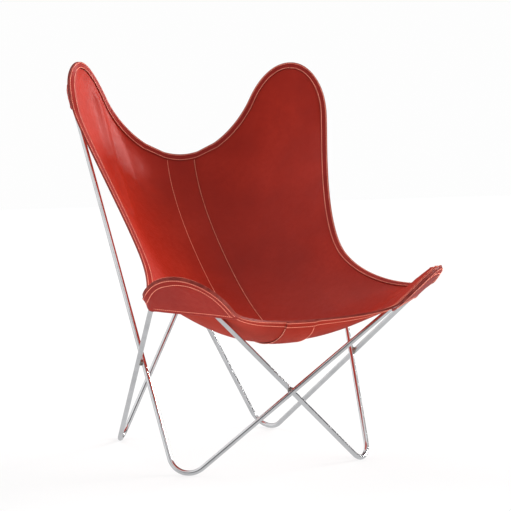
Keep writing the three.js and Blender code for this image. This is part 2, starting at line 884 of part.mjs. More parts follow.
const steel = { color: 0xb9bcc0, roughness: 0.18, metalness: 1 };
const seam = { color: 0x9fa1a4, roughness: 0.4, metalness: 1 };
const leatherFace = { color: 0x8f2a20, roughness: 0.5, metalness: 0 };
const leatherBack = { color: 0xb5482f, roughness: 0.75, metalness: 0 };

const chair = new THREE.Group();

function add(name, geometry, look) {
  const mesh = new THREE.Mesh(geometry, new THREE.MeshStandardMaterial(look));
  mesh.name = name;
  chair.add(mesh);
}

add('frame_rod_outer', rodGeometry(loops.outer), steel);
add('frame_rod_inner', rodGeometry(loops.inner), steel);
add('weld_front', weldGeometry(
  loops.outer.footFront, loops.outer.low, loops.inner.footFront, loops.inner.low), seam);
add('weld_back', weldGeometry(
  loops.outer.footBack, loops.outer.high, loops.inner.footBack, loops.inner.high), seam);
add('weld_right', weldGeometry(
  loops.outer.footBack, loops.outer.low, loops.inner.footFront, loops.inner.high), seam);
add('weld_left', weldGeometry(
  loops.inner.footBack, loops.inner.low, loops.outer.footFront, loops.outer.high), seam);

add('sling_half_left', slingHalfLeft(), leatherFace);
add('sling_half_right', slingHalfRight(), leatherFace);

add('edge_strip_top', crossStrip(0), leatherFace);
add('edge_strip_front', crossStrip(frontRow), leatherFace);
const rightStrip = sideStrip();
add('edge_strip_right', rightStrip, leatherFace);
add('edge_strip_left', mirrorGeometry(rightStrip), leatherFace);

const highPocket = pocket(highPocketCells, highTip, topRow, 1, 0);
add('pocket_high_right', highPocket, leatherBack);
add('pocket_high_left', mirrorGeometry(highPocket), leatherBack);
const lowPocket = pocket(lowPocketCells, lowTip, frontRow, -1, edgeRow);
add('pocket_low_right', lowPocket, leatherBack);
add('pocket_low_left', mirrorGeometry(lowPocket), leatherBack);

// The origin goes to the middle of the chair's footprint, on the floor
const bounds = new THREE.Box3().setFromObject(chair, true);
const middle = bounds.getCenter(vec(0, 0, 0));
chair.position.set(-middle.x, -middle.y, -bounds.min.z);

const part = new THREE.Group();
part.add(chair);

export default part;
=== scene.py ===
import math

import bpy
import numpy as np
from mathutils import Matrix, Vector
from mathutils.bvhtree import BVHTree
from mathutils.kdtree import KDTree


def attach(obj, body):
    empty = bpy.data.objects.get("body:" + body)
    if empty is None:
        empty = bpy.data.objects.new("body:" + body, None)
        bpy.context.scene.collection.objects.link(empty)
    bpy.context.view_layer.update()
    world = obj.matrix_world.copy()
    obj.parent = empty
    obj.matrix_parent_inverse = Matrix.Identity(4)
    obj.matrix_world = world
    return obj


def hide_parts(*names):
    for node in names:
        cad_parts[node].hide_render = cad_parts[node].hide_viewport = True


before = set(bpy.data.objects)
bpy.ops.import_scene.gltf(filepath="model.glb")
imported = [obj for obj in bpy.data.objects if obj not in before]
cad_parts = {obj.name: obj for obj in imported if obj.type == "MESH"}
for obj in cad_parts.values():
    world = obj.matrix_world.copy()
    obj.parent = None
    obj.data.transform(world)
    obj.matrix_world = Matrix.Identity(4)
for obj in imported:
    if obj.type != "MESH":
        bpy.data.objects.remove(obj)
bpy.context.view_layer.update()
print("frame loaded:", len(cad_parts), "nodes")

# Sizes are in millimetres, in the drawing's frame: the sitter faces -Y and the floor is z = 0.
# toMetres() brings points into the row frame.
drawing = {"originY": 188.7102, "metre": 0.001}
metre = drawing["metre"]

frameSizes = {
    "rodDiameter": 12,
    "footBend": 50,  # centre line, at the feet and the low tips
    "highBend": 60,  # centre line, at the high tips
    "weldGap": 0.5,
    "footFlat": 0.5,
    "footFront": (254.4, 0, 0),  # sharp corners of the right-hand side
    "footBack": (210.6, 520.6, 0),
    "high": (339.4, 605.5, 1039),
    "lowTipY": -209.4,
    "lowTipZ": 519.7,
    "sides": 32,
    "bendSteps": 36,
    "tipSteps": 8,  # straight pieces of each tip's bend that the leather is held off
    "settleTurns": 6,
    "solveTurns": 8,
    "smallest": 1e-12,
}

leatherSizes = {
    "thickness": 3,
    "pocketThickness": 2.5,
    "stripThickness": 1.6,
    "stripWidth": 16.5,
    "contact": 0.35,  # air between two pieces that touch
    "lapHalf": 36,  # the left half lies over the right one this far past the middle
    "lapStep": 12,
    "cutRound": 0.7,  # radius of the burnished cut edges
    "stripRound": 0.5,
    # a strip's inner cut faces are darkened as painted shade
    "innerReach": 3,  # cut faces of a strip this near its inner line are the dark ones
    "pocketRound": 0.6,
    "seatSag": 0.72,
    "backSag": 1.0,
    "backSagShare": 0.35,
    "sagRows": 34,
    "overRod": 0.4,
}

highLobe = {
    "overhang": 43.9, "halfLength": 180, "halfWidth": 119.5, "shift": -6, "lift": 21.5, "curl": 13.5,
    "scoopTurn": math.radians(62), "sideTurn": math.radians(70.5),
}
lowLobe = {
    "overhang": 22.5, "halfLength": 139, "halfWidth": 118, "shift": 20, "lift": -12.5, "curl": 11.5,
    "scoopTurn": math.radians(70), "sideTurn": math.radians(56.5),
}
outlineSizes = {
    "topMiddle": (0, 596.5, 718), "topMiddleHandle": 101, "topLobeHandle": 53.5, "sideLobeHandle": 42,
    "waist": (264, 169.5, 489.5), "waistHandle": (15, -105.5, -67.5), "lowSideHandle": 40,
    "frontLobeHandle": 35, "frontMiddle": (0, -124.5, 362.5), "frontMiddleHandle": 72.5,
    "steps": 96, "endCrowding": 0.25, "sideCrowding": 0.4,
}

# Frame


def unit(vectors):
    return vectors / np.linalg.norm(vectors, axis=-1, keepdims=True)


def flipped(points):
    return points * np.array([-1.0, 1.0, 1.0])


def point(values):
    return np.array(values, float)


def toMetres(points):
    return (points - np.array([0, drawing["originY"], 0])) * metre


# Goes smoothly from 0 at the start to 1 at the end
def eased(values, start, end):
    share = np.clip((values - start) / (end - start), 0, 1)
    return share * share * (3 - 2 * share)


# Middle of the shortest way between two straight legs, and the direction of that way
def nearestLegs(a0, a1, b0, b1):
    u, w = a1 - a0, b1 - b0
    normal = unit(np.cross(u, w))
    between = b0 - a0
    wn, un = np.cross(w, normal), np.cross(u, normal)
    onA = a0 + u * (between @ wn) / (u @ wn)
    onB = b0 - w * (between @ un) / (w @ un)
    return (onA + onB) / 2, normal


# Round bend in place of the sharp corner between two legs
def bendOf(corner, endA, endB, radius):
    a, b = unit(endA - corner), unit(endB - corner)
    half = math.acos(float(a @ b)) / 2
    axis, side, normal = unit(a + b), unit(a - b), unit(np.cross(a, b))
    centre = corner + axis * radius / math.sin(half)
    lowest = centre[2] - radius * math.sqrt(1 - normal[2] ** 2)
    return {"centre": centre, "axis": axis, "side": side, "half": half, "radius": radius, "lowest": lowest}


def bendLine(bend, steps):
    angles = ((math.pi / 2 - bend["half"]) * (1 - 2 * np.linspace(0, 1, steps + 1)))[:, None]
    sines, cosines = np.sin(angles), np.cos(angles)
    points = bend["centre"] + bend["radius"] * (bend["side"] * sines - bend["axis"] * cosines)
    return points, -bend["side"] * cosines - bend["axis"] * sines


# Brings both feet of a loop down to the floor
def settle(loop):
    rest = frameSizes["rodDiameter"] / 2 - frameSizes["footFlat"]
    for _ in range(frameSizes["settleTurns"]):
        for name in ("footFront", "footBack"):
            bend = bendOf(loop[name], loop["high"], loop["low"], frameSizes["footBend"])
            loop[name][2] += rest - bend["lowest"]


def cornersFor(lowTipX):
    corners = {name: point(frameSizes[name]) for name in ("footFront", "footBack", "high")}
    corners["low"] = point((lowTipX, frameSizes["lowTipY"], frameSizes["lowTipZ"]))
    loop = {
        "footFront": corners["footFront"], "high": corners["high"],
        "low": flipped(corners["low"]), "footBack": flipped(corners["footBack"]),
    }
    settle(loop)
    corners["footBack"][2] = loop["footBack"][2]
    return corners


# How far one loop stands in front of or behind the middle where the two cross
def stepFor(foot, tip):
    _, normal = nearestLegs(foot, flipped(tip), flipped(foot), tip)
    return (frameSizes["rodDiameter"] + frameSizes["weldGap"]) / 2 / abs(normal[1])


# Both loops, stepped apart at the front and the back, where they cross
def loopsFor(corners):
    front = point((0, stepFor(corners["footFront"], corners["low"]), 0))
    back = point((0, stepFor(corners["footBack"], corners["high"]), 0))
    outer = {
        "high": flipped(corners["high"]) + back, "footFront": flipped(corners["footFront"]) - front,
        "low": corners["low"] - front, "footBack": corners["footBack"] + back,
    }
    inner = {
        "high": corners["high"] - back, "footFront": corners["footFront"] + front,
        "low": flipped(corners["low"]) + front, "footBack": flipped(corners["footBack"]) - back,
    }
    settle(outer)
    settle(inner)
    return outer, inner


def sideSpacing(lowTipX):
    outer, inner = loopsFor(cornersFor(lowTipX))
    _, normal = nearestLegs(outer["footBack"], outer["low"], inner["footFront"], inner["high"])
    return float((outer["low"] - inner["high"]) @ (normal * np.sign(normal[0])))


# The low tips lie where the loops also pass each other by the weld's gap at the sides
def findLowTipX():
    wanted = frameSizes["rodDiameter"] + frameSizes["weldGap"]
    x0 = frameSizes["high"][0]
    x1 = x0 + frameSizes["rodDiameter"]
    for _ in range(frameSizes["solveTurns"]):
        y0, y1 = sideSpacing(x0) - wanted, sideSpacing(x1) - wanted
        if abs(y1 - y0) > frameSizes["smallest"]:
            x0, x1 = x1, x1 - y1 * (x1 - x0) / (y1 - y0)
    return x1


corners = cornersFor(findLowTipX())
outerLoop, innerLoop = loopsFor(corners)


def bendRadius(name):
    return frameSizes["highBend" if name == "high" else "footBend"]


# Centre line of a loop, and its heading at each point
def loopLine(loop, steps):
    order = ["high", "footFront", "low", "footBack"]
    lines = []
    for index, name in enumerate(order):
        ends = loop[order[index - 1]], loop[order[(index + 1) % len(order)]]
        lines.append(bendLine(bendOf(loop[name], *ends, bendRadius(name)), steps))
    return [np.concatenate([line[k] for line in lines]) for k in range(2)]


# Straight pieces of the rods at the right-hand tips, and the way up from each. Both loops' tips count, the
# left-hand ones mirrored, so that the two halves of the leather come out alike.
def tipSegments():
    starts, ends, ups = [], [], []
    for loop in (outerLoop, innerLoop):
        for name in ("high", "low"):
            side = loop if loop[name][0] > 0 else {key: flipped(value) for key, value in loop.items()}
            bend = bendOf(side[name], side["footBack"], side["footFront"], bendRadius(name))
            legs = [side["footBack"], *bendLine(bend, frameSizes["tipSteps"])[0], side["footFront"]]
            normal = np.cross(bend["side"], bend["axis"])
            starts += legs[:-1]
            ends += legs[1:]
            ups += [normal * np.sign(normal[2])] * (len(legs) - 1)
    return np.array(starts), np.array(ends), np.array(ups)


rodStarts, rodEnds, rodUps = tipSegments()
rodAlong = rodEnds - rodStarts
rodLengths = (rodAlong ** 2).sum(-1)
rodUps = unit(rodUps - rodAlong * ((rodUps * rodAlong).sum(-1) / rodLengths)[:, None])

contactSizes = {
    "window": 40,  # a spot further than this past a rod's axis belongs to the rod's other side
    "leastHold": 0.1,
    "margin": 30,  # cells within this of a rod are looked at
    "lookEvery": 25,
}


def awayFromRods(points):
    share = np.clip(((points[:, None] - rodStarts) * rodAlong).sum(-1) / rodLengths, 0, 1)
    return points[:, None] - (rodStarts + share[..., None] * rodAlong)


# How far points have to move along a rod's way up (side 1) or down (side -1) to pass it on that side
def rodPush(points, distance, side):
    away = awayFromRods(points)
    height = (away * rodUps).sum(-1) * side
    beside = np.maximum((away ** 2).sum(-1) - height ** 2, 0)
    wanted = np.sqrt(np.maximum(distance ** 2 - beside, 0))
    near = (beside < distance ** 2) & (height > -contactSizes["window"])
    lift = np.where(near, np.maximum(wanted - height, 0), 0)
    best = lift.argmax(1)
    return lift[np.arange(len(points)), best], rodUps[best] * side


# Moves the free corners of cells until each sampled spot of them has passed the rods on the given side
def pushOff(points, cells, weights, distance, free, side):
    spots = np.einsum("sk,ckx->csx", weights, points[cells])
    lift, way = rodPush(spots.reshape(-1, 3), distance, side)
    lift, way = lift.reshape(spots.shape[:2]), way.reshape(spots.shape)
    cell, spot = np.nonzero(lift > 0)
    if len(cell) == 0:
        return
    held = weights[spot] * free[cells[cell]]
    total = np.maximum((held ** 2).sum(-1), contactSizes["leastHold"])
    push = way[cell, spot] * (lift[cell, spot] / total)[:, None]
    share = held[..., None] * push[:, None]
    size = np.linalg.norm(share, axis=-1)
    summed, weighed = np.zeros_like(points), np.zeros(len(points))
    np.add.at(summed, cells[cell], share * size[..., None])
    np.add.at(weighed, cells[cell], size)
    moved = weighed > 0
    points[moved] += summed[moved] / weighed[moved][:, None]


# Weights of a cell's four corners at evenly spread spots
def cellSpots(steps):
    spots = [(i / steps, j / steps) for i in range(steps) for j in range(steps)]
    return np.array([[(1 - u) * (1 - v), u * (1 - v), u * v, (1 - u) * v] for u, v in spots])


# Outline


# Axes of a lobe: along it towards the feet, across it, and up
def tipAxes(corner, scoopEnd, sideEnd, radius):
    bend = bendOf(corner, scoopEnd, sideEnd, radius)
    normal = np.cross(bend["side"], bend["axis"])
    normal = normal * np.sign(normal[2])
    top = radius * (1 / math.sin(bend["half"]) - 1)
    return {
        "corner": corner, "along": bend["axis"], "across": bend["side"], "normal": normal, "bendTop": top,
    }


highTip = tipAxes(corners["high"], flipped(corners["footBack"]), corners["footFront"], bendRadius("high"))
lowTip = tipAxes(corners["low"], flipped(corners["footFront"]), corners["footBack"], bendRadius("low"))


def lobePoints(tip, lobe, turns):
    turns = np.atleast_1d(turns)[:, None]
    centre = tip["bendTop"] - lobe["overhang"] + lobe["halfLength"]
    return (tip["corner"] + tip["along"] * (centre - lobe["halfLength"] * np.cos(turns))
            + tip["across"] * (lobe["shift"] + lobe["halfWidth"] * np.sin(turns))
            + tip["normal"] * (lobe["lift"] + lobe["curl"] * np.cos(turns) ** 2))


def lobeDirection(tip, lobe, turn):
    return unit(tip["along"] * lobe["halfLength"] * math.sin(turn)
                + tip["across"] * lobe["halfWidth"] * math.cos(turn)
                - tip["normal"] * lobe["curl"] * math.sin(2 * turn))


# Smooth curve between two places, with a handle at each
def scoop(start, startHandle, end, endHandle):
    t = np.linspace(0, 1, outlineSizes["steps"] + 1)[:, None]
    a, b = start + startHandle, end + endHandle
    return start * (1 - t) ** 3 + a * 3 * t * (1 - t) ** 2 + b * 3 * t ** 2 * (1 - t) + end * t ** 3


def joined(*runs):
    return np.concatenate([run if index == 0 else run[1:] for index, run in enumerate(runs)])


# Top, side and front of the right-hand half's outline, which meet at the tips of the lobes
def outlineRuns():
    o, steps = outlineSizes, outlineSizes["steps"]
    high, low = (highTip, highLobe), (lowTip, lowLobe)

    def arc(tip, lobe, start, end):
        return lobePoints(tip, lobe, np.linspace(start, end, steps + 1))

    def lobeEnd(tip, lobe, turn, handle):
        return lobePoints(tip, lobe, turn)[0], lobeDirection(tip, lobe, turn) * handle

    waist, waistHandle = point(o["waist"]), point(o["waistHandle"])
    top = scoop(point(o["topMiddle"]), point((o["topMiddleHandle"], 0, 0)),
                *lobeEnd(*high, highLobe["scoopTurn"], o["topLobeHandle"]))
    upperSide = scoop(*lobeEnd(*high, -highLobe["sideTurn"], -o["sideLobeHandle"]), waist, -waistHandle)
    lowerSide = scoop(waist, waistHandle, *lobeEnd(*low, -lowLobe["sideTurn"], -o["lowSideHandle"]))
    front = scoop(*lobeEnd(*low, lowLobe["scoopTurn"], o["frontLobeHandle"]),
                  point(o["frontMiddle"]), point((o["frontMiddleHandle"], 0, 0)))
    side = (arc(*high, 0, -highLobe["sideTurn"]), upperSide, lowerSide, arc(*low, -lowLobe["sideTurn"], 0))
    return (
        joined(top, arc(*high, highLobe["scoopTurn"], 0)), joined(*side),
        joined(arc(*low, 0, lowLobe["scoopTurn"]), front),
    )


def lengthsAlong(points):
    return np.concatenate([[0], np.cumsum(np.linalg.norm(np.diff(points, axis=0), axis=1))])


def spacedAlong(run, count, crowd):
    lengths = lengthsAlong(run)
    wanted = crowd(np.linspace(0, 1, count + 1)) * lengths[-1]
    return np.stack([np.interp(wanted, lengths, run[:, k]) for k in range(3)], axis=1)


def crowdEnd(share):
    return share + outlineSizes["endCrowding"] * np.sin(np.pi * share) / np.pi


def crowdStart(share):
    return 1 - crowdEnd(1 - share)


def crowdBoth(share):
    return share - outlineSizes["sideCrowding"] * np.sin(2 * np.pi * share) / (2 * np.pi)


# Net of the right-hand half: column 0 is the middle, row 0 the top; edge[k] is the outline by rim knot k


def rimPlaces(net):
    columns, rows = net.shape[0] - 1, net.shape[1] - 1
    i = np.concatenate([np.arange(columns), np.full(rows, columns), np.arange(columns, -1, -1)])
    j = np.concatenate([np.zeros(columns, int), np.arange(rows), np.full(columns + 1, rows)])
    return i, j


def edgeKnots(columns, rows):
    topRun, sideRun, frontRun = outlineRuns()
    top = spacedAlong(topRun, columns, crowdEnd)
    side = spacedAlong(sideRun, rows, crowdBoth)
    front = spacedAlong(frontRun, columns, crowdStart)
    return top, side, front, np.concatenate([top, side[1:], front[1:]])


def firstNet(columns, rows):
    top, side, front, _ = edgeKnots(columns, rows)
    u, v = np.linspace(0, 1, columns + 1)[:, None, None], np.linspace(0, 1, rows + 1)[None, :, None]
    middle = point(outlineSizes["topMiddle"]) * (1 - v) + point(outlineSizes["frontMiddle"]) * v
    across = middle * (1 - u) + side[None] * u
    along = top[:, None] * (1 - v) + front[::-1][:, None] * v
    return (across + along) / 2


# Halves the cells of the net
def doubled(net):
    def between(values):
        wide = np.zeros((2 * len(values) - 1, *values.shape[1:]))
        wide[::2], wide[1::2] = values, (values[1:] + values[:-1]) / 2
        return wide
    return between(between(net).swapaxes(0, 1)).swapaxes(0, 1)


netSizes = {
    "columns": 15, "rows": 32, "doublings": 2, "lastPushes": 12,
    # before and after each doubling:
    "turns": (4000, 500, 500), "contactTurns": (700, 400, 400), "spots": (4, 2, 2),
}


# Pull on each row of knots: down everywhere, and backwards near the top
def loadFor(rows):
    s = leatherSizes
    scale = (s["sagRows"] / rows) ** 2
    load = np.zeros((1, rows - 1, 3))
    load[0, :, 1] = s["backSag"] * scale * np.maximum(1 - np.arange(1, rows) / rows / s["backSagShare"], 0)
    load[0, :, 2] = -s["seatSag"] * scale
    return load


# Cells of the net and of the hem outside it, by knot: the net's knots come first, then those of the edge
def netCells(net, edge):
    number = np.arange(net.shape[0] * net.shape[1]).reshape(net.shape[:2])
    rim, outside = number[rimPlaces(net)], number.size + np.arange(len(edge))
    inner = np.stack([number[:-1, :-1], number[1:, :-1], number[1:, 1:], number[:-1, 1:]], -1)
    hem = np.stack([outside[:-1], outside[1:], rim[1:], rim[:-1]], -1)
    return np.concatenate([inner.reshape(-1, 4), hem])


def cellsNearRods(points, cells, distance):
    centres = points[cells].mean(1)
    reach = np.linalg.norm(awayFromRods(centres), axis=-1).min(1)
    size = np.linalg.norm(points[cells] - centres[:, None], axis=-1).max(1)
    return cells[reach < distance + size + contactSizes["margin"]]


# Lets the net hang from its hem, which keeps its width and swings freely, then off the rods too
def relaxNet(net, turns, contactTurns, spots, distance):
    columns, rows = net.shape[0] - 1, net.shape[1] - 1
    edge = edgeKnots(columns, rows)[3]
    rimI, rimJ = rimPlaces(net)
    nextI, nextJ = np.minimum(rimI, columns - 1), np.clip(rimJ, 1, rows - 1)
    before = np.concatenate([flipped(edge[1:2]), edge[:-1]])
    after = np.concatenate([edge[1:], flipped(edge[-2:-1])])
    tangents = unit(after - before)
    load, cells = loadFor(rows), netCells(net, edge)
    count = net.shape[0] * net.shape[1]
    free = np.concatenate([np.ones(count), np.zeros(len(edge))])
    for turn in range(turns):
        left = np.concatenate([flipped(net[1:2]), net[:-2]])
        net[:-1, 1:-1] = (left[:, 1:-1] + net[1:, 1:-1] + net[:-1, :-2] + net[:-1, 2:]) / 4 + load
        inward = net[nextI, nextJ] - edge
        inward = unit(inward - tangents * (inward * tangents).sum(-1, keepdims=True))
        net[rimI, rimJ] = edge + inward * leatherSizes["stripWidth"]
        if turn >= turns - contactTurns:
            points = np.concatenate([net.reshape(-1, 3), edge])
            if (turns - turn) % contactSizes["lookEvery"] == 0 or turn == turns - contactTurns:
                near = cellsNearRods(points, cells, distance)
            pushOff(points, near, spots, distance, free, 1)
            net = points[:count].reshape(net.shape)
        net[..., 0] = np.maximum(net[..., 0], 0)
        net[0, :, 0] = 0
    for _ in range(netSizes["lastPushes"]):  # the rim alone hasn't settled on the rods yet
        pushOff(points, near, spots, distance, free, 1)
    return points[:count].reshape(net.shape), edge


# Coarse net first, then twice as fine each time
def hangNet():
    s = leatherSizes
    distance = frameSizes["rodDiameter"] / 2 + s["thickness"] + s["contact"] + s["overRod"]
    net = firstNet(netSizes["columns"], netSizes["rows"])
    for level in range(netSizes["doublings"] + 1):
        net = doubled(net) if level > 0 else net
        net, edge = relaxNet(net, netSizes["turns"][level], netSizes["contactTurns"][level],
                             cellSpots(netSizes["spots"][level]), distance)
    return net, edge


net, edge = hangNet()

# The hem beside the high lobes, and down to the waist, turns back about its inner line. Knots count along
# the rim.
hemFold = {"turn": math.radians(36), "start": 60, "full": 80, "easing": 134, "end": 162}


def foldedHem(net, edge):
    knots = np.arange(len(edge))
    turn = hemFold["turn"] * eased(knots, hemFold["start"], hemFold["full"])
    turn = (turn * eased(knots, hemFold["end"], hemFold["easing"]))[:, None]
    rim = net[rimPlaces(net)]
    width = np.linalg.norm(rim - edge, axis=1, keepdims=True)
    inward = (rim - edge) / width
    ahead = np.concatenate([edge[1:], edge[-1:]]) - np.concatenate([edge[:1], edge[:-1]])
    up = unit(np.cross(inward, ahead))
    return rim - (inward * np.cos(turn) + up * np.sin(turn)) * width


edge = foldedHem(net, edge)
print("leather hung:", net.shape)

# Sheet: net and hem as one grid of knots, each with a place on the upper face and a normal


def rowAtWidths(row, widths):
    return np.stack([np.interp(widths, row[:, 0], row[:, k]) for k in range(3)], axis=1)


sheetSizes = {
    "hemLines": (0, 4.2, 8.3, 12.4),  # from the cut edge inwards; the strip's inner edge comes next
    "lapWidths": (0, 6, 12, 18, 24, 30, 36, 39, 42, 45, 48),
    "lapColumns": 12,  # net columns that the lap's own columns stand in for
}


def hemLine(net, edge, distance):
    return edge + unit(net[rimPlaces(net)] - edge) * distance


# Grid of the right-hand half: columns of the lap and the net, rows from the top edge to the front edge,
# and four more lines of knots beside the side rim. Returns points, cells and the numbers of its lines.
def sheetGrid(net, edge):
    columns, rows = net.shape[0] - 1, net.shape[1] - 1
    hems = [hemLine(net, edge, distance) for distance in sheetSizes["hemLines"]]
    lines = [hem[:columns + 1] for hem in hems]
    lines += [net[:, j] for j in range(rows + 1)]
    lines += [hem[columns + rows:][::-1] for hem in reversed(hems)]
    widths = np.array(sheetSizes["lapWidths"], float)
    first = sheetSizes["lapColumns"]
    grid = np.stack([np.concatenate([rowAtWidths(line, widths), line[first:]]) for line in lines], axis=1)
    count, depth = len(hems), grid.shape[1]
    number = np.arange(grid.shape[0] * depth).reshape(grid.shape[:2])
    points = [grid.reshape(-1, 3)]
    total = number.size
    side = np.zeros((count + 1, rows + 1), int)  # line 0 is the rim, the last one the cut edge
    side[0] = number[-1, count:count + rows + 1]
    for index, hem in enumerate(reversed(hems)):
        own = hem[columns + 1:columns + rows]
        side[index + 1, 0] = number[-1, count - 1 - index]
        side[index + 1, -1] = number[-1, count + rows + 1 + index]
        side[index + 1, 1:-1] = total + np.arange(len(own))
        total += len(own)
        points.append(own)
    return np.concatenate(points), number, side


def quadsOf(number):
    return np.stack([number[:-1, :-1], number[:-1, 1:], number[1:, 1:], number[1:, :-1]], -1).reshape(-1, 4)


def knotNormals(points, quads):
    a, b, c, d = (points[quads[:, k]] for k in range(4))
    diagonals = np.cross(c - a, d - b)
    normals = np.zeros_like(points)
    for k in range(4):
        np.add.at(normals, quads[:, k], diagonals)
    return normals


sheetPoints, mainNumber, sideNumber = sheetGrid(net, edge)
sheetQuads = np.concatenate([quadsOf(mainNumber), quadsOf(sideNumber)])
sheetNormals = knotNormals(sheetPoints, sheetQuads)
sheetNormals[mainNumber[0], 0] = 0
sheetNormals = unit(sheetNormals)


# Closed piece between two offsets, along the normals, of a patch of knots, with burnished cut edges
def slabMesh(points, normals, quads, upper, lower, rounding, steps=3):
    upper = np.broadcast_to(np.asarray(upper, float), (len(points),))
    lower = np.broadcast_to(np.asarray(lower, float), (len(points),))
    used, inverse = np.unique(quads, return_inverse=True)
    quads = inverse.reshape(quads.shape).tolist()
    points, normals, upper, lower = points[used], normals[used], upper[used], lower[used]
    sides = set()
    for face in quads:
        loop = list(dict.fromkeys(face))
        sides.update((loop[k - 1], knot) for k, knot in enumerate(loop))
    border = [(a, b) for a, b in sides if (b, a) not in sides]
    following = dict(border)
    preceding = {b: a for a, b in border}
    ring = np.array(sorted(following))
    place = {knot: index for index, knot in enumerate(ring.tolist())}
    ahead = unit(points[[following[k] for k in ring.tolist()]] - points[ring])
    ahead = ahead + unit(points[ring] - points[[preceding[k] for k in ring.tolist()]])
    outward = unit(np.cross(ahead, normals[ring]))
    count = len(points)
    tops, bottoms = points + normals * upper[:, None], points + normals * lower[:, None]
    tops[ring] -= outward * rounding
    bottoms[ring] -= outward * rounding
    verts = [tops, bottoms]
    faces = [tuple(dict.fromkeys(face)) for face in quads]
    faces += [tuple(knot + count for knot in reversed(face)) for face in faces[:len(quads)]]
    bends = [(math.sin(t), 1 - math.cos(t)) for t in np.linspace(0, math.pi / 2, steps + 1)[1:]]
    levels = [ring]
    total = 2 * count
    for start, side, run in ((tops, -1, bends), (bottoms, 1, bends[::-1])):
        for out, drop in run:
            verts.append(start[ring] + (outward * out + normals[ring] * (side * drop)) * rounding)
            levels.append(total + np.arange(len(ring)))
            total += len(ring)
    levels.append(ring + count)
    for above, below in zip(levels[:-1], levels[1:]):
        for a, b in border:
            i, j = place[a], place[b]
            faces.append((int(above[j]), int(above[i]), int(below[i]), int(below[j])))
    return np.concatenate(verts), faces, len(quads)


# Halves: the right one runs on under the lap to its own edge at -lapHalf; the left one is its mirror image


def halfSheet():
    lap = 1 + int(np.argmin(np.abs(np.array(sheetSizes["lapWidths"]) - leatherSizes["lapHalf"])))
    extra = mainNumber[1:lap]
    points = np.concatenate([sheetPoints, flipped(sheetPoints[extra.reshape(-1)])])
    normals = np.concatenate([sheetNormals, flipped(sheetNormals[extra.reshape(-1)])])
    mirror = len(sheetPoints) + np.arange(extra.size).reshape(extra.shape)
    quads = np.concatenate([sheetQuads, quadsOf(np.concatenate([mirror[::-1], mainNumber[:1]]))])
    return points, normals, quads


# How far the right half lies lower, to make room for the left one at the lap
def lapDrop(points):
    s = leatherSizes
    return (s["thickness"] + s["contact"]) * (
        1 - eased(np.abs(points[:, 0]), s["lapHalf"], s["lapHalf"] + s["lapStep"]))


# A patch of the right-hand half together with its mirror image
def bothSides(points, normals, quads):
    count = len(points)
    return (np.concatenate([points, flipped(points)]), np.concatenate([normals, flipped(normals)]),
            np.concatenate([quads, quads[:, ::-1] + count]))


# Joins knots that lie in one place
def welded(points, normals, quads):
    keys = {}
    rounded = [tuple(place) for place in np.round(points, 4)]
    merged = np.array([keys.setdefault(place, index) for index, place in enumerate(rounded)])
    return points, normals, merged[quads]


# Pockets: leather sewn under the hem, behind the rods' bend, open towards the feet

pocketSizes = {
    "highCells": 7, "lowCells": 8, "turns": (500, 260, 200), "spots": (7, 3, 1), "longestMove": 1.5,
    "startBelow": 24, "settleTurns": 15, "settleSpots": 4, "roofCells": 8, "lookEvery": 5, "smallest": 1e-9,
}


# Knots of a pocket by number: half a square, its mouth along the diagonal, and its two sewn edges as line 0
# of each way. Returns the numbers, how many of the knots are free, and the cells.
def pocketGrid(cells):
    a, b = np.indices((cells + 1, cells + 1))
    number = np.full((cells + 2, cells + 2), -1)
    count = int((a + b <= cells).sum())
    number[1:, 1:][a + b <= cells] = np.arange(count)
    number[1:, 0] = count + np.arange(cells + 1)
    number[0, 2:] = count + cells + 1 + np.arange(cells)
    number[0, 1] = number[1, 0]  # the tip belongs to both edges
    quads = []
    for p in range(cells + 1):
        for q in range(cells + 1):
            square = [number[p, q], number[p + 1, q], number[p + 1, q + 1], number[p, q + 1]]
            if square[2] < 0:
                square[2] = square[3]  # a triangle at the mouth
            if min(square) >= 0:
                quads.append(square)
    return number, count, np.array(quads)


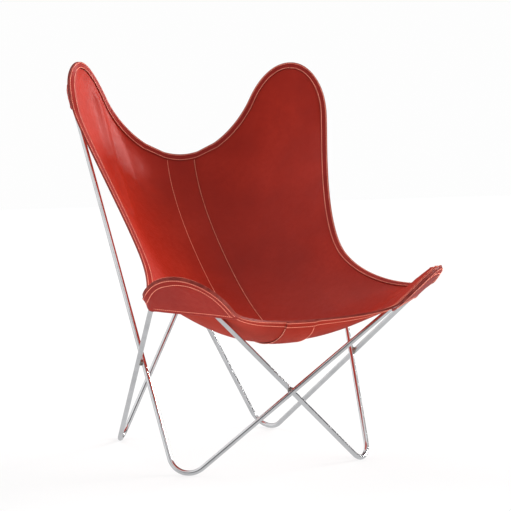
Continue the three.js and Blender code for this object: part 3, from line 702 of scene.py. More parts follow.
# Lets a pocket hang from its sewn edges: under the roof of leather, below the rods, its mouth kept in line
def relaxPocket(knots, topEdge, sideEdge, tip, roof, roofNormals, turns, spots):
    s = leatherSizes
    cells = len(topEdge) - 1
    number, count, quads = pocketGrid(cells)
    grid = np.zeros((cells + 2, cells + 2, 3))
    grid[1:, 1:] = knots
    grid[1:, 0], grid[0, 1:] = topEdge, sideEdge
    a, b = np.indices((cells + 1, cells + 1)) + 1
    (ia, ib), (ma, mb) = ((a[part], b[part]) for part in (a + b < cells + 2, a + b == cells + 2))
    flat = number >= 0
    flat[0, 1] = False
    order = np.argsort(number[flat])
    rows, cols = np.argwhere(flat)[order].T
    free = (number[rows, cols] < count).astype(float)

    def along(points):
        return (points - tip["corner"]) @ tip["along"]

    reachEnds = along(grid[ma, mb])
    fromMouth, toMouth = reachEnds[ma == 1][0], reachEnds[mb == 1][0]
    distance = frameSizes["rodDiameter"] / 2 + s["contact"] + s["overRod"]
    depth = s["thickness"] + s["contact"] + s["overRod"]
    for turn in range(turns):
        wanted = np.zeros_like(grid)
        wanted[ia, ib] = (grid[ia - 1, ib] + grid[ia + 1, ib] + grid[ia, ib - 1] + grid[ia, ib + 1]) / 4
        total = grid[ma - 1, mb] + grid[ma, mb - 1]
        hasLeft, hasRight = (ma > 1)[:, None], (mb > 1)[:, None]
        total = total + hasLeft * grid[ma - 1, np.minimum(mb + 1, cells + 1)]
        total = total + hasRight * grid[np.minimum(ma + 1, cells + 1), mb - 1]
        mean = total / (2 + hasLeft + hasRight)
        goal = fromMouth + (toMouth - fromMouth) * (ma - 1) / cells
        wanted[ma, mb] = mean + tip["along"] * (goal - along(mean))[:, None]
        for i, j in ((ia, ib), (ma, mb)):
            move = wanted[i, j] - grid[i, j]
            size = np.linalg.norm(move, axis=-1, keepdims=True)
            size = np.maximum(size, pocketSizes["smallest"])
            wanted[i, j] = grid[i, j] + move * np.minimum(1, pocketSizes["longestMove"] / size)
        grid[ia, ib], grid[ma, mb] = wanted[ia, ib], wanted[ma, mb]
        points = grid[rows, cols]
        if turn % pocketSizes["lookEvery"] == 0:
            nearest = ((points[:, None] - roof) ** 2).sum(-1).argmin(1)
        height = ((points - roof[nearest]) * roofNormals[nearest]).sum(-1)
        over = np.maximum(height + depth, 0) * free
        points = points - roofNormals[nearest] * over[:, None]
        pushOff(points, quads, spots, distance, free, -1)
        grid[rows, cols] = points
    for _ in range(pocketSizes["settleTurns"]):
        pushOff(points, quads, cellSpots(pocketSizes["settleSpots"]), distance, free, -1)
    grid[rows, cols] = points
    return grid, number, quads, points


# Halves the cells; the new middle knots follow the diagonal that runs along the mouth
def finerPocket(shape):
    cells = len(shape) - 1
    fine = np.zeros((2 * cells + 1, 2 * cells + 1, 3))
    fine[::2, ::2] = shape
    fine[1::2, ::2] = (shape[1:] + shape[:-1]) / 2
    fine[::2, 1::2] = (shape[:, 1:] + shape[:, :-1]) / 2
    fine[1::2, 1::2] = (shape[1:, :-1] + shape[:-1, 1:]) / 2
    return fine


# Hangs one pocket under its lobe, coarse first: its knots, their ways out, its cells and their numbers
def pocketShape(tip, coarseCells, atTop):
    s = leatherSizes
    doublings = len(pocketSizes["turns"]) - 1
    cells = coarseCells * 2 ** doublings
    last, hems = len(mainNumber) - 1, len(sheetSizes["hemLines"])
    near, wide = np.arange(cells + 1), np.arange(cells + pocketSizes["roofCells"])
    rows, wideRows = (reach if atTop else sideNumber.shape[1] - 1 - reach for reach in (near, wide))
    block = mainNumber[last - near][:, hems + rows]
    underKnots = sheetPoints - sheetNormals * (s["thickness"] + s["contact"])
    knots = underKnots[block].copy()
    height = (knots - tip["corner"]) @ tip["normal"]
    knots += tip["normal"] * np.minimum(-pocketSizes["startBelow"] - height, 0)[..., None]
    topEdge = underKnots[mainNumber[last - near, 0 if atTop else -1]]
    sideEdge = underKnots[sideNumber[-1, rows]]
    above = mainNumber[last - wide][:, hems + wideRows].ravel()
    roof, roofNormals = sheetPoints[above], sheetNormals[above]
    shape = knots[::2 ** doublings, ::2 ** doublings]
    for level, turns in enumerate(pocketSizes["turns"]):
        step = 2 ** (doublings - level)
        if level > 0:
            shape = finerPocket(shape)
        grid, number, quads, points = relaxPocket(
            shape, topEdge[::step], sideEdge[::step], tip, roof, roofNormals,
            turns, cellSpots(pocketSizes["spots"][level]))
        shape = grid[1:, 1:]
    if not atTop:  # the rows run the other way there
        quads = quads[:, ::-1]
        quads = np.where(quads[:, :1] == quads[:, 1:2], np.roll(quads, -1, axis=1), quads)
    return points, unit(knotNormals(points, quads)), quads, number


# Finishes. Every pattern runs on object coordinates, in metres.


# An input given as a socket is linked, and any other value is set on the node's own socket
def setInputs(node, values):
    for name, value in values.items():
        socket = node.inputs[name]
        if isinstance(value, bpy.types.NodeSocket):
            node.id_data.links.new(value, socket)
        else:
            socket.default_value = (*value, 1) if socket.type == "RGBA" else value


def addNode(tree, kind, inputs=None, **settings):
    made = tree.nodes.new(kind)
    for key, value in settings.items():
        setattr(made, key, value)
    setInputs(made, inputs or {})
    return made


# Lays glows over a shader, one after the other, each by its own share
def overlaid(tree, shown, kind, layers):
    for share, colour in layers:
        glow = addNode(tree, kind, {"Color": colour}).outputs[0]
        shown = addNode(tree, "ShaderNodeMixShader", {"Fac": share, 1: shown, 2: glow}).outputs["Shader"]
    return shown


class Finish:
    def __init__(self, name):
        self.material = bpy.data.materials.new(name)
        self.material.use_nodes = True
        self.tree = self.material.node_tree
        self.shader = self.tree.nodes["Principled BSDF"]
        self.place = self.node("ShaderNodeTexCoord").outputs["Object"]

    def node(self, kind, inputs=None, **settings):
        return addNode(self.tree, kind, inputs, **settings)

    def stretched(self, scale, turn=(0, 0, 0)):
        return self.node("ShaderNodeMapping", {
            "Rotation": turn, "Scale": scale, "Vector": self.place}).outputs["Vector"]

    def noise(self, scale, detail=3, rough=0.5, bend=0.0, place=None):
        return self.node("ShaderNodeTexNoise", {
            "Scale": scale, "Detail": detail, "Roughness": rough, "Distortion": bend,
            "Vector": place or self.place}).outputs["Fac"]

    def cells(self, scale, feature="DISTANCE_TO_EDGE"):
        return self.node("ShaderNodeTexVoronoi", {"Scale": scale, "Vector": self.place},
                         feature=feature).outputs["Distance"]

    def ranged(self, value, span, result):
        return self.node("ShaderNodeMapRange", {
            "From Min": span[0], "From Max": span[1], "To Min": result[0], "To Max": result[1],
            "Value": value}).outputs["Result"]

    def ramp(self, value, places, colours):
        made = self.node("ShaderNodeValToRGB", {"Fac": value})
        elements = made.color_ramp.elements
        while len(elements) < len(places):
            elements.new(0.5)
        for element, place, colour in zip(elements, places, colours):
            element.position = place
            element.color = (*colour, 1)
        return made.outputs["Color"]

    def mixed(self, share, first, second):
        inputs = {"Factor": share, 6: first, 7: second}
        return self.node("ShaderNodeMix", inputs, data_type="RGBA").outputs[2]

    # Layers are pairs of a height and the metres that it stands for
    def painted(self, colour, roughness, layers=(), **others):
        given = {"Base Color": colour, "Roughness": roughness}
        given.update((name.replace("_", " "), value) for name, value in others.items())
        bump = {"Strength": 1}
        for height, distance in layers:
            bump.update({"Distance": distance, "Height": height})
            bump["Normal"] = given["Normal"] = self.node("ShaderNodeBump", bump).outputs["Normal"]
        setInputs(self.shader, given)
        return self.material


# In the dictionaries below, a pattern of noise is its scale, detail, roughness and distortion
noiseSpan = (0.3, 0.7)  # most of a noise lies between these


def tones(look):
    return look["dark"], look["main"], look["light"]


def smoothLeather(name, look):
    finish = Finish(name)
    cloud = finish.noise(*look["cloud"])
    mottle = finish.noise(*look["mottle"])
    pores = finish.cells(look["grain"])
    creases = finish.noise(*look["crease"], finish.stretched(*look["creaseWay"]))
    colour = finish.ramp(cloud, look["stops"], tones(look))
    colour = finish.mixed(finish.ranged(mottle, noiseSpan, (0, look["mottling"])), colour, look["dark"])
    colour = finish.mixed(finish.ranged(pores, look["poreSpan"], (look["poring"], 0)), colour, look["pore"])
    grain = finish.ranged(pores, look["grainSpan"], (0, 1))
    return finish.painted(
        colour, finish.ranged(mottle, noiseSpan, look["gloss"]),
        ((creases, look["creaseDepth"]), (mottle, look["mottleDepth"]), (grain, look["grainDepth"])),
        Specular_IOR_Level=look["specular"])


redLeather = {
    "cloud": (5.5, 4, 0.55, 0.4), "mottle": (75, 5, 0.6), "grain": 900, "crease": (26, 6, 0.62, 1.2),
    "creaseWay": ((1, 1, 0.45), (0.3, 0, 0.5)),
    "dark": (0.265, 0.0125, 0.0052), "main": (0.33, 0.0168, 0.0067), "light": (0.39, 0.0245, 0.011),
    "stops": (0.3, 0.52, 0.74), "mottling": 0.5, "pore": (0.12, 0.006, 0.004), "poring": 0.35,
    "poreSpan": (0, 0.12), "grainSpan": (0, 0.25), "gloss": (0.42, 0.55), "specular": 0.13,
    "creaseDepth": 0.0009, "mottleDepth": 0.00022, "grainDepth": 0.00006,
}
edgeLeather = dict(redLeather, dark=(0.21, 0.0125, 0.0085), main=(0.265, 0.0165, 0.0115),
                   light=(0.32, 0.024, 0.017), mottle=(110, 5, 0.6), creaseDepth=0.0004)
pocketLeather = dict(redLeather, dark=(0.21, 0.0125, 0.0075), main=(0.26, 0.0165, 0.0095),
                     light=(0.31, 0.022, 0.013))
smoothLook = smoothLeather("red_leather", redLeather)
stripLook = smoothLeather("strip_leather", edgeLeather)
pocketLook = smoothLeather("pocket_leather", pocketLeather)

fleshSide = {
    "cloud": (9, 4, 0.6, 0.5), "fibre": (420, 6, 0.7, 1.5), "fluff": (1500, 3, 0.7),
    "dark": (0.22, 0.0155, 0.0085), "main": (0.275, 0.021, 0.0115), "light": (0.33, 0.031, 0.018),
    "stops": (0.3, 0.5, 0.72), "rough": (0.78, 0.92), "fibreSpan": (0.35, 0.7),
    "fibring": 0.5, "specular": 0.08, "sheen": 0.03, "sheenRough": 0.6, "sheenTint": (1, 0.5, 0.35),
    "depth": 0.00035,
}


def fleshLeather(look):
    finish = Finish("leather_flesh_side")
    cloud = finish.noise(*look["cloud"])
    fibre = finish.noise(*look["fibre"])
    fluff = finish.noise(*look["fluff"])
    colour = finish.ramp(cloud, look["stops"], tones(look))
    darkened = finish.ranged(fibre, look["fibreSpan"], (look["fibring"], 0))
    return finish.painted(
        finish.mixed(darkened, colour, look["dark"]), finish.ranged(fibre, noiseSpan, look["rough"]),
        ((fibre, look["depth"]), (fluff, look["depth"] / 3)),
        Specular_IOR_Level=look["specular"], Sheen_Weight=look["sheen"], Sheen_Roughness=look["sheenRough"],
        Sheen_Tint=look["sheenTint"])


fleshLook = fleshLeather(fleshSide)

cutEdge = {
    "layers": (260, 4, 0.6, 0.8), "worn": (60, 5, 0.6), "dark": (0.15, 0.016, 0.012),
    "light": (0.27, 0.042, 0.03), "stops": (0.35, 0.68), "rough": (0.38, 0.55), "specular": 0.2,
    "depth": 0.00015,
}
# Near-black copy of the cut edge for a strip's inner cut faces: painted shade for the shadow of the strip's
# step
innerEdgeShade = dict(cutEdge, dark=(0.02, 0.003, 0.003), light=(0.055, 0.008, 0.007))


def burnishedEdge(name, look):
    finish = Finish(name)
    worn = finish.noise(*look["worn"])
    layers = finish.noise(*look["layers"])
    return finish.painted(
        finish.ramp(worn, look["stops"], (look["dark"], look["light"])),
        finish.ranged(layers, noiseSpan, look["rough"]), ((layers, look["depth"]),),
        Specular_IOR_Level=look["specular"])


edgeLook = burnishedEdge("burnished_edge", cutEdge)
innerEdgeShadeLook = burnishedEdge("inner_edge_painted_shade", innerEdgeShade)

threadFinish = {
    "twist": 520, "twistBend": 0.6, "tone": (35, 2),
    "colour": (0.94, 0.35, 0.24), "shade": (0.84, 0.25, 0.16),
    "toning": 0.6, "twistSpan": (0, 0.5), "grooveShading": 0.5, "rough": (0.42, 0.6), "depth": 0.0002,
}


def waxedThread(look):
    finish = Finish("waxed_thread")
    strands = finish.node("ShaderNodeTexWave", {
        "Scale": look["twist"], "Distortion": look["twistBend"], "Vector": finish.place},
        wave_type="BANDS", bands_direction="DIAGONAL").outputs["Fac"]
    tone = finish.noise(*look["tone"])
    toned = finish.ranged(tone, noiseSpan, (0, look["toning"]))
    # Painted shade: the colour goes towards the darker thread colour in the hollows of the twist; the tone
    # noise also moves it that way at random, the thread's own tone
    hollow = finish.ranged(strands, look["twistSpan"], (look["grooveShading"], 0))
    colour = finish.mixed(hollow, finish.mixed(toned, look["colour"], look["shade"]), look["shade"])
    rough = finish.ranged(tone, noiseSpan, look["rough"])
    return finish.painted(colour, rough, ((strands, look["depth"]),))


threadLook = waxedThread(threadFinish)

polish = {
    "smear": (14, 5, 0.6, 0.5), "smearSpan": (0.3, 0.75), "clean": (0.92, 0.925, 0.93),
    "dull": (0.74, 0.745, 0.75), "stops": (0.35, 0.75), "gloss": (0.12, 0.24),
    "scratch": (900, 2, 0.5, 0), "scratchWay": (1, 1, 0.04), "depth": 0.00001,
}


def polishedSteel(look):
    finish = Finish("polished_steel")
    smear = finish.noise(*look["smear"])
    lines = finish.noise(*look["scratch"], finish.stretched(look["scratchWay"]))
    return finish.painted(
        finish.ramp(smear, look["stops"], (look["clean"], look["dull"])),
        finish.ranged(smear, look["smearSpan"], look["gloss"]), ((lines, look["depth"]),), Metallic=1)


steelLook = polishedSteel(polish)

weldFinish = {
    "tint": (95, 3, 0.5, 0.6), "stops": (0.3, 0.5, 0.62, 0.8), "ripple": (650, 3, 0.5, 1.5), "pits": 1300,
    "rough": (0.22, 0.45), "depth": 0.0004,
    "colours": ((0.5, 0.49, 0.47), (0.34, 0.27, 0.2), (0.17, 0.15, 0.2), (0.42, 0.42, 0.43)),
}


def weldedSteel(look):
    finish = Finish("weld_bead")
    tint = finish.noise(*look["tint"])
    ripple = finish.noise(*look["ripple"])
    pits = finish.cells(look["pits"], "F1")
    return finish.painted(
        finish.ramp(tint, look["stops"], look["colours"]), finish.ranged(ripple, noiseSpan, look["rough"]),
        ((ripple, look["depth"]), (pits, look["depth"] / 4)), Metallic=1)


weldLook = weldedSteel(weldFinish)
print("finishes made")

# Pieces


def placed(name, data):
    made = bpy.data.objects.new(name, data)
    bpy.context.scene.collection.objects.link(made)
    return made


def makePiece(name, points, faces, materials=(), parts=None, edges=()):
    mesh = bpy.data.meshes.new(name)
    mesh.from_pydata(toMetres(points).tolist(), edges, faces)
    for material in materials:
        mesh.materials.append(material)
    if parts is not None:
        mesh.polygons.foreach_set("material_index", parts)
    mesh.polygons.foreach_set("use_smooth", [True] * len(mesh.polygons))
    mesh.update()
    return placed(name, mesh)


def declare(piece, node):
    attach(piece, "root")
    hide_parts(node)


# Rods: both loops swept round with a round section, flat for half a millimetre where they stand


def rodMesh(loop):
    sides = frameSizes["sides"]
    line, direction = loopLine(loop, frameSizes["bendSteps"])
    first = [unit(np.cross(direction[0], [0, 0, 1]))]
    for heading in direction[1:]:
        first.append(unit(first[-1] - heading * (first[-1] @ heading)))
    first = np.array(first)
    second = np.cross(direction, first)
    angles = np.linspace(0, 2 * math.pi, sides, endpoint=False)[None, :, None]
    rings = line[:, None] + frameSizes["rodDiameter"] / 2 * (
        first[:, None] * np.cos(angles) + second[:, None] * np.sin(angles))
    last = first[-1] - direction[0] * (first[-1] @ direction[0])
    shift = round(math.atan2(float(last @ second[0]), float(last @ first[0])) / (2 * math.pi / sides))
    points = rings.reshape(-1, 3)
    points[:, 2] = np.maximum(points[:, 2], 0)
    faces = []
    for row in range(len(line)):
        after = (row + 1) % len(line)
        slip = shift if after == 0 else 0
        for k in range(sides):
            ahead = after * sides + (k - slip) % sides, after * sides + (k + 1 - slip) % sides
            faces.append((row * sides + k, row * sides + (k + 1) % sides, ahead[1], ahead[0]))
    return points, faces


for name, loop in (("outer", outerLoop), ("inner", innerLoop)):
    declare(makePiece("rod_" + name, *rodMesh(loop), [steelLook]), "frame_rod_" + name)

for node in ("weld_front", "weld_back", "weld_left", "weld_right"):
    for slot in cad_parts[node].material_slots:
        slot.material = weldLook
print("frame made")

# Leather: material 0 on the upper face, 1 on the lower, 2 on the cut edges, 3 on a strip's inner cut edge,
# darkened there as painted shade


leather = {}
innerKnots = {}


def addLeather(name, node, slab, materials):
    points, faces, quadCount = slab
    parts = np.full(len(faces), 2)
    parts[:quadCount], parts[quadCount:2 * quadCount] = 0, 1
    leather[name] = makePiece(name, points, faces, materials, parts)
    declare(leather[name], node)


def mirrored(points, normals, quads):
    return flipped(points), flipped(normals), quads[:, ::-1]


# Soft folds in the left wing: a ridge down from the lobe, and a hollow beside it, that end short of the hem
wingFolds = (
    {"height": 8, "width": 20,
     "line": ((-236, 580, 868), (-225, 558, 798), (-219, 507, 714), (-216, 441, 641), (-223, 371, 588))},
    {"height": -3, "width": 14, "line": ((-172, 594, 785), (-154, 586, 745), (-140, 527, 644))},
)
foldEnd, foldFull = 6, 32  # from the strip's inner edge


# Distance from each point to the nearest of the knots
def distances(points, knots):
    tree = KDTree(len(knots))
    for place, knot in enumerate(knots):
        tree.insert(knot, place)
    tree.balance()
    return np.array([tree.find(point)[2] for point in points])


def withFolds(points, normals, quads):
    share = eased(distances(points, innerKnots["all"]), foldEnd, foldFull)
    moved = points.copy()
    for fold in wingFolds:
        line = np.array(fold["line"], float)
        apart = np.full(len(points), np.inf)
        for start, reach in zip(line, np.diff(line, axis=0)):
            along = np.clip((points - start) @ reach / (reach @ reach), 0, 1)
            apart = np.minimum(apart, np.linalg.norm(points - start - along[:, None] * reach, axis=1))
        moved += normals * (share * fold["height"] * np.exp(-(apart / fold["width"]) ** 2))[:, None]
    return moved, normals, quads


stripLines = len(sheetSizes["hemLines"]) + 1
topLines = mainNumber[:, :stripLines]
frontLines = mainNumber[:, :-stripLines - 1:-1]
sideLines = sideNumber[::-1].T
for name, lines in (("top", topLines), ("front", frontLines), ("side", sideLines)):
    knots = sheetPoints[lines[:, -1]]
    innerKnots[name] = np.concatenate([knots, flipped(knots)])
innerKnots["all"] = np.concatenate(list(innerKnots.values()))
half = halfSheet()
thick = leatherSizes["thickness"]
drop = lapDrop(half[0])
sheetLooks = [smoothLook, fleshLook, edgeLook]
rightSlab = slabMesh(*half, -drop, -drop - thick, leatherSizes["cutRound"])
leftSlab = slabMesh(*withFolds(*mirrored(*half)), 0, -thick, leatherSizes["cutRound"])
addLeather("half_right", "sling_half_right", rightSlab, sheetLooks)
addLeather("half_left", "sling_half_left", leftSlab, sheetLooks)

stripLow = leatherSizes["contact"]
stripHigh = stripLow + leatherSizes["stripThickness"]


def addStrip(name, patch, inner):
    slab = slabMesh(*patch, stripHigh, stripLow, leatherSizes["stripRound"])
    addLeather("strip_" + name, "edge_strip_" + name, slab,
               [stripLook, fleshLook, edgeLook, innerEdgeShadeLook])
    # The cut faces beside the inner line take the near-black material, painted shade
    cuts = [polygon for polygon in leather["strip_" + name].data.polygons if polygon.material_index == 2]
    near = distances([polygon.center for polygon in cuts], toMetres(innerKnots[inner]))
    for polygon, distance in zip(cuts, near):
        if distance < leatherSizes["innerReach"] * metre:
            polygon.material_index = 3


sidePatch = sheetPoints, sheetNormals, quadsOf(sideNumber)
addStrip("top", welded(*bothSides(sheetPoints, sheetNormals, quadsOf(topLines))), "top")
addStrip("front", welded(*bothSides(sheetPoints, sheetNormals, quadsOf(frontLines)[:, ::-1])), "front")
addStrip("right", sidePatch, "side")
addStrip("left", mirrored(*sidePatch), "side")

pockets = {}
for height, tip in (("high", highTip), ("low", lowTip)):
    shape = pocketShape(tip, pocketSizes[height + "Cells"], height == "high")
    pockets[height] = shape
    for side, part in (("right", shape[:3]), ("left", mirrored(*shape[:3]))):
        slab = slabMesh(*part, 0, -leatherSizes["pocketThickness"], leatherSizes["pocketRound"])
        addLeather(f"pocket_{height}_{side[0]}", f"pocket_{height}_{side}", slab,
                   [fleshLook, pocketLook, edgeLook])
print("leather pieces made:", len(leather))

# Stitches

stitch = {
    "Pitch": 5.0, "Length": 4.5, "Width": 1.8, "Height": 1.3, "Slant": 6, "Sway": 4, "Seed": 7,
    "sunk": 0.15, "segments": 8, "rings": 5,
    "outerRow": 2.7, "innerRow": 14.1,  # from the cut edge
    "bandRow": 33.4,  # from the middle
    "mouthRow": 11, "endGap": 2.6, "easing": 3,
}


def threadTree():
    tree = bpy.data.node_groups.new("saddleStitches", "GeometryNodeTree")
    lengths = [(name, "Float") for name in ("Pitch", "Length", "Width", "Height", "Slant", "Sway")]
    for name, kind in (("Rows", "Geometry"), *lengths, ("Seed", "Int"), ("Thread", "Material")):
        tree.interface.new_socket(name, in_out="INPUT", socket_type="NodeSocket" + kind)
    tree.interface.new_socket("Stitches", in_out="OUTPUT", socket_type="NodeSocketGeometry")

    def made(kind, inputs=None, **settings):
        return addNode(tree, kind, inputs, **settings).outputs

    given = made("NodeGroupInput")
    curve = made("GeometryNodeMeshToCurve", {"Mesh": given["Rows"]})["Curve"]
    spaced = made("GeometryNodeResampleCurve", {"Curve": curve, "Length": given["Pitch"]}, mode="LENGTH")
    bead = made("GeometryNodeMeshUVSphere", {
        "Segments": stitch["segments"], "Rings": stitch["rings"], "Radius": 0.5})["Mesh"]
    size = made("ShaderNodeCombineXYZ", {"X": given["Length"], "Y": given["Width"], "Z": given["Height"]})
    shaped = made("GeometryNodeTransform", {"Geometry": bead, "Scale": size["Vector"]})
    tangent = made("GeometryNodeInputTangent")["Tangent"]
    rise = made("GeometryNodeInputNamedAttribute", {"Name": "rise"}, data_type="FLOAT_VECTOR")["Attribute"]
    along = made("FunctionNodeAlignRotationToVector", {"Vector": tangent}, axis="X", pivot_axis="AUTO")
    upright = made("FunctionNodeAlignRotationToVector", {"Rotation": along["Rotation"], "Vector": rise},
                   axis="Z", pivot_axis="X")
    random = made("FunctionNodeRandomValue", {2: -1, 3: 1, "Seed": given["Seed"]}, data_type="FLOAT")
    lean = made("ShaderNodeMath", {0: random[1], 1: given["Sway"], 2: given["Slant"]},
                operation="MULTIPLY_ADD")["Value"]
    turn = made("ShaderNodeCombineXYZ", {"Z": lean})["Vector"]
    turn = made("FunctionNodeEulerToRotation", {"Euler": turn})["Rotation"]
    leaning = made("FunctionNodeRotateRotation", {"Rotation": upright["Rotation"], "Rotate By": turn},
                   rotation_space="LOCAL")["Rotation"]
    copies = made("GeometryNodeInstanceOnPoints", {
        "Points": spaced["Curve"], "Instance": shaped["Geometry"], "Rotation": leaning})["Instances"]
    real = made("GeometryNodeRealizeInstances", {"Geometry": copies})["Geometry"]
    painted = made("GeometryNodeSetMaterial", {"Geometry": real, "Material": given["Thread"]})["Geometry"]
    made("NodeGroupOutput", {"Stitches": painted})
    return tree


stitchTree = threadTree()


# Rows are (places, ways up). A chain of knots runs in from the cut edge; rowAt() reads it at one distance.
def rowAt(chains, distance, offset):
    places, ups = [], []
    for chain in chains:
        lengths = lengthsAlong(sheetPoints[chain])
        for source, made in ((sheetPoints, places), (sheetNormals, ups)):
            made.append([np.interp(distance, lengths, source[chain][:, k]) for k in range(3)])
    ups = unit(np.array(ups))
    return np.array(places) + ups * offset, ups


# Draws both ends of a row in a little, so that no stitch lies across a corner
def trimmed(row):
    places, ups = row[0].copy(), row[1]
    for end, beside in ((0, 1), (-1, -2)):
        places[end] += unit(places[beside] - places[end]) * stitch["endGap"]
    return places, ups


def mirroredRow(row):
    return flipped(row[0]), flipped(row[1])


def acrossMiddle(row):
    other = mirroredRow(row)
    return tuple(np.concatenate([other[k][:0:-1], row[k]]) for k in range(2))


# From the sheet's knots to the lowest face there: two layers of leather at the lap, one beside it
def underOffset(places):
    width = np.abs(places[:, 0])
    plain = -thick - np.where(width > leatherSizes["lapHalf"], lapDrop(places) * (places[:, 0] > 0), 0)
    return np.where(width <= leatherSizes["lapHalf"], -2 * thick - leatherSizes["contact"], plain)


def hemRows(distance):
    lift = stripHigh + stitch["sunk"]
    side = trimmed(rowAt(sideLines, distance, lift))
    ends = [trimmed(acrossMiddle(rowAt(lines, distance, lift))) for lines in (topLines, frontLines)]
    return [side, mirroredRow(side), *ends]


def lowered(row):
    places, ups = row
    return places + ups * (underOffset(places) - stitch["sunk"])[:, None], -ups


# Under the leather, the rows leave out what the pockets cover
def hemRowsBelow(distance):
    high, low = (pocketSizes[name] * 2 ** netSizes["doublings"] for name in ("highCells", "lowCells"))
    side = rowAt(sideLines[high:len(sideLines) - low], distance, 0)
    ends = [acrossMiddle(rowAt(lines[:len(lines) - reach], distance, 0))
            for lines, reach in ((topLines, high), (frontLines, low))]
    return [lowered(row) for row in (side, mirroredRow(side), *ends)]


def bandRows():
    widths = np.array(sheetSizes["lapWidths"], float)
    after = 1 + int(np.searchsorted(widths, stitch["bandRow"]))
    share = (stitch["bandRow"] - widths[after - 2]) / (widths[after - 1] - widths[after - 2])
    pair = mainNumber[[after - 1, after], stripLines:-stripLines]
    places = sheetPoints[pair[0]] * (1 - share) + sheetPoints[pair[1]] * share
    ups = unit(sheetNormals[pair[0]] * (1 - share) + sheetNormals[pair[1]] * share)
    above, below = (places + ups * stitch["sunk"], ups), lowered((places, ups))
    return [above, mirroredRow(above)], [below, mirroredRow(below)]


def pocketRows(shape):
    points, normals, quads, number = shape
    cells = len(number) - 2
    surface = BVHTree.FromPolygons(points.tolist(), quads.tolist())
    offset = -leatherSizes["pocketThickness"] - stitch["sunk"]

    def onPocket(places, knots):
        found = []
        for place, up in zip(places, normals[knots]):
            nearest, facing = surface.find_nearest(Vector(place))[:2]
            found.append((nearest, facing if facing @ Vector(up) > 0 else -facing))
        places, ups = (np.array([[*pair[k]] for pair in found]) for k in range(2))
        for _ in range(stitch["easing"]):
            places[1:-1] = (places[:-2] + 2 * places[1:-1] + places[2:]) / 4
            ups[1:-1] = unit(ups[:-2] + ups[1:-1] + ups[2:])
        return places + ups * offset, -ups

    rim = [*number[1:cells, 0][::-1], *number[0, 2:cells]]
    inward = np.cross(normals[rim], unit(np.gradient(points[rim], axis=0)))
    inward *= np.sign(((points.mean(axis=0) - points[rim]) * inward).sum())
    rows = [onPocket(points[rim] + inward * stitch[name], rim) for name in ("outerRow", "innerRow")]
    mouth = [number[a + 1, cells - a + 1] for a in range(2, cells - 1)]
    before = [(points[number[a, cells - a + 1]] + points[number[a + 1, cells - a]]) / 2
              for a in range(2, cells - 1)]
    inside = unit(np.array(before) - points[mouth])
    rows.append(onPocket(points[mouth] + inside * stitch["mouthRow"], mouth))
    return rows + [mirroredRow(row) for row in rows]


# Runs the stitches along rows, and keeps them as one mesh
def sewn(name, rows):
    places, rises = (np.concatenate([row[k] for row in rows]) for k in range(2))
    edges, start = [], 0
    for row in rows:
        edges += [(start + k, start + k + 1) for k in range(len(row[0]) - 1)]
        start += len(row[0])
    guide = makePiece(name + "_rows", places, [], edges=edges)
    rise = guide.data.attributes.new("rise", "FLOAT_VECTOR", "POINT")
    rise.data.foreach_set("vector", rises.astype(np.float32).ravel())
    modifier = guide.modifiers.new("stitches", "NODES")
    modifier.node_group = stitchTree
    values = {key: stitch[key] * metre for key in ("Pitch", "Length", "Width", "Height")}
    values.update({key: math.radians(stitch[key]) for key in ("Slant", "Sway")})
    values.update(Seed=stitch["Seed"], Thread=threadLook)
    for item in stitchTree.interface.items_tree:
        if item.name in values:
            modifier[item.identifier] = values[item.name]
    bpy.context.view_layer.update()
    made = bpy.data.meshes.new_from_object(guide.evaluated_get(bpy.context.evaluated_depsgraph_get()))
    bpy.data.objects.remove(guide)
    made.name = name
    if "rise" in made.attributes:
        made.attributes.remove(made.attributes["rise"])
    made.polygons.foreach_set("use_smooth", [True] * len(made.polygons))
    piece = placed(name, made)
    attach(piece, "root")
    print(name, "faces:", len(made.polygons))
    return piece


bandAbove, bandBelow = bandRows()
outer, inner = stitch["outerRow"], stitch["innerRow"]
threadAbove = sewn("thread_above", hemRows(outer) + hemRows(inner) + bandAbove)
threadBelow = sewn("thread_below", hemRowsBelow(outer) + hemRowsBelow(inner) + bandBelow)
threadPockets = sewn("thread_pockets", pocketRows(pockets["high"]) + pocketRows(pockets["low"]))
# Floor, light and camera

studio = {
    "floorHalf": 9000, "floorColour": (0.93, 0.925, 0.92), "floorSeen": (0.9, 0.895, 0.895),
    "floorLit": 0.86, "floorMirrored": (0.58, 0.58, 0.59), "dust": (0.6, 3), "floorRough": (0.85, 0.9),
    "around": 0.76, "white": (0.985, 0.985, 0.985),
    "mirroredWhite": (0.8, 0.8, 0.81), "mirroredDark": (0.03, 0.025, 0.03),
    # what polished metal sees as dark: a doorway to the right, and the place of the camera
    "darkWays": (((0.86, 0.5, 0.1), 0.3, 0.72, 1), ((-0.52, -0.8, 0.31), 0.83, 0.94, 0.92)),
}
lamps = {
    "key": {"way": (0.8824, -0.0308, 0.4695), "power": 4.3, "width": 36},
    "side": {"way": (-0.424, 0.734, 0.53), "power": 3.3, "width": 60},
    "glint": {"way": (0.9, 0.16, 0.34), "power": 1.5, "width": 9},
}
cameraSizes = {
    "azimuth": -24.276, "elevation": 5.098, "distance": 4.891, "lens": 143.63,
    "target": (0, -0.0670, 0.4925), "farthest": 50,
}


def floorPaint():
    finish = Finish("floor_paint")
    rough = finish.ranged(finish.noise(*studio["dust"]), noiseSpan, studio["floorRough"])
    finish.painted(studio["floorColour"], rough, Specular_IOR_Level=0)
    path = finish.node("ShaderNodeLightPath").outputs
    seen = finish.node("ShaderNodeMath", {0: path["Is Camera Ray"], 1: studio["floorLit"]},
                       operation="MULTIPLY")
    shown = overlaid(finish.tree, finish.shader.outputs["BSDF"], "ShaderNodeEmission", (
        (seen.outputs["Value"], studio["floorSeen"]), (path["Is Glossy Ray"], studio["floorMirrored"])))
    setInputs(finish.tree.nodes["Material Output"], {"Surface": shown})
    return finish.material


floorCorners = np.array([[-1, -1, 0], [1, -1, 0], [1, 1, 0], [-1, 1, 0]]) * float(studio["floorHalf"])
makePiece("floor", floorCorners, [(0, 1, 2, 3)], [floorPaint()])


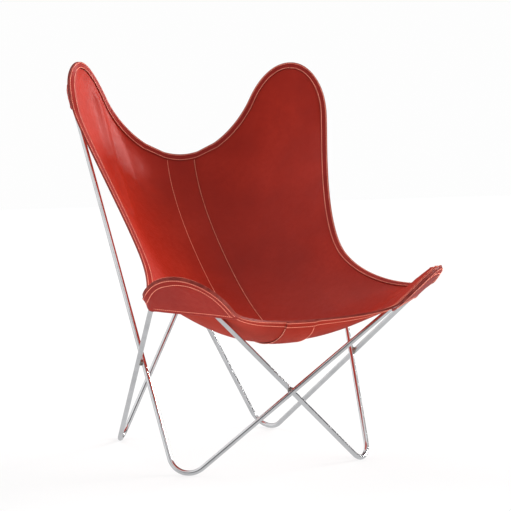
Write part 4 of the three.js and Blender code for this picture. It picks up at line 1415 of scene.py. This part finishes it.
# White to the camera, and to polished metal but for the dark ways
def lightRoom():
    world = bpy.data.worlds.new("studio")
    bpy.context.scene.world = world
    world.use_nodes = True
    tree = world.node_tree
    way = addNode(tree, "ShaderNodeTexCoord").outputs["Generated"]
    path = addNode(tree, "ShaderNodeLightPath").outputs
    around = tree.nodes["Background"]
    setInputs(around, {"Color": (1, 1, 1), "Strength": studio["around"]})
    mirrored = studio["mirroredWhite"]
    for dark, start, end, depth in studio["darkWays"]:
        facing = addNode(tree, "ShaderNodeVectorMath", {0: way, 1: unit(np.array(dark))},
                         operation="DOT_PRODUCT")
        share = addNode(tree, "ShaderNodeMapRange", {
            "Value": facing.outputs["Value"], "From Min": start, "From Max": end, "To Max": depth},
            interpolation_type="SMOOTHSTEP").outputs["Result"]
        mirrored = addNode(tree, "ShaderNodeMix", {"Factor": share, 6: mirrored, 7: studio["mirroredDark"]},
                           data_type="RGBA").outputs[2]
    shown = overlaid(tree, around.outputs["Background"], "ShaderNodeBackground", (
        (path["Is Glossy Ray"], mirrored), (path["Is Camera Ray"], studio["white"])))
    setInputs(tree.nodes["World Output"], {"Surface": shown})


# Polished metal mirrors the narrow lamp alone
def addSun(name, way, power, width):
    data = bpy.data.lights.new(name, "SUN")
    data.energy = power
    data.angle = math.radians(width)
    lamp = placed(name, data)
    lamp.rotation_mode = "QUATERNION"
    lamp.rotation_quaternion = Vector(way).to_track_quat("Z", "Y")
    lamp.visible_glossy = name == "glint"


def addCamera(azimuth, elevation, distance, lens, target, farthest):
    azimuth, elevation = math.radians(azimuth), math.radians(elevation)
    back = Vector((math.sin(azimuth) * math.cos(elevation), -math.cos(azimuth) * math.cos(elevation),
                   math.sin(elevation)))
    data = bpy.data.cameras.new("camera")
    data.lens = lens
    data.clip_end = farthest
    camera = placed("camera", data)
    camera.location = Vector(target) + back * distance
    camera.rotation_mode = "QUATERNION"
    camera.rotation_quaternion = (-back).to_track_quat("-Z", "Y")
    bpy.context.scene.camera = camera


lightRoom()
for name, lamp in lamps.items():
    addSun(name, **lamp)
addCamera(**cameraSizes)
bpy.context.scene.view_settings.view_transform = "Standard"
print("floor, light and camera made")
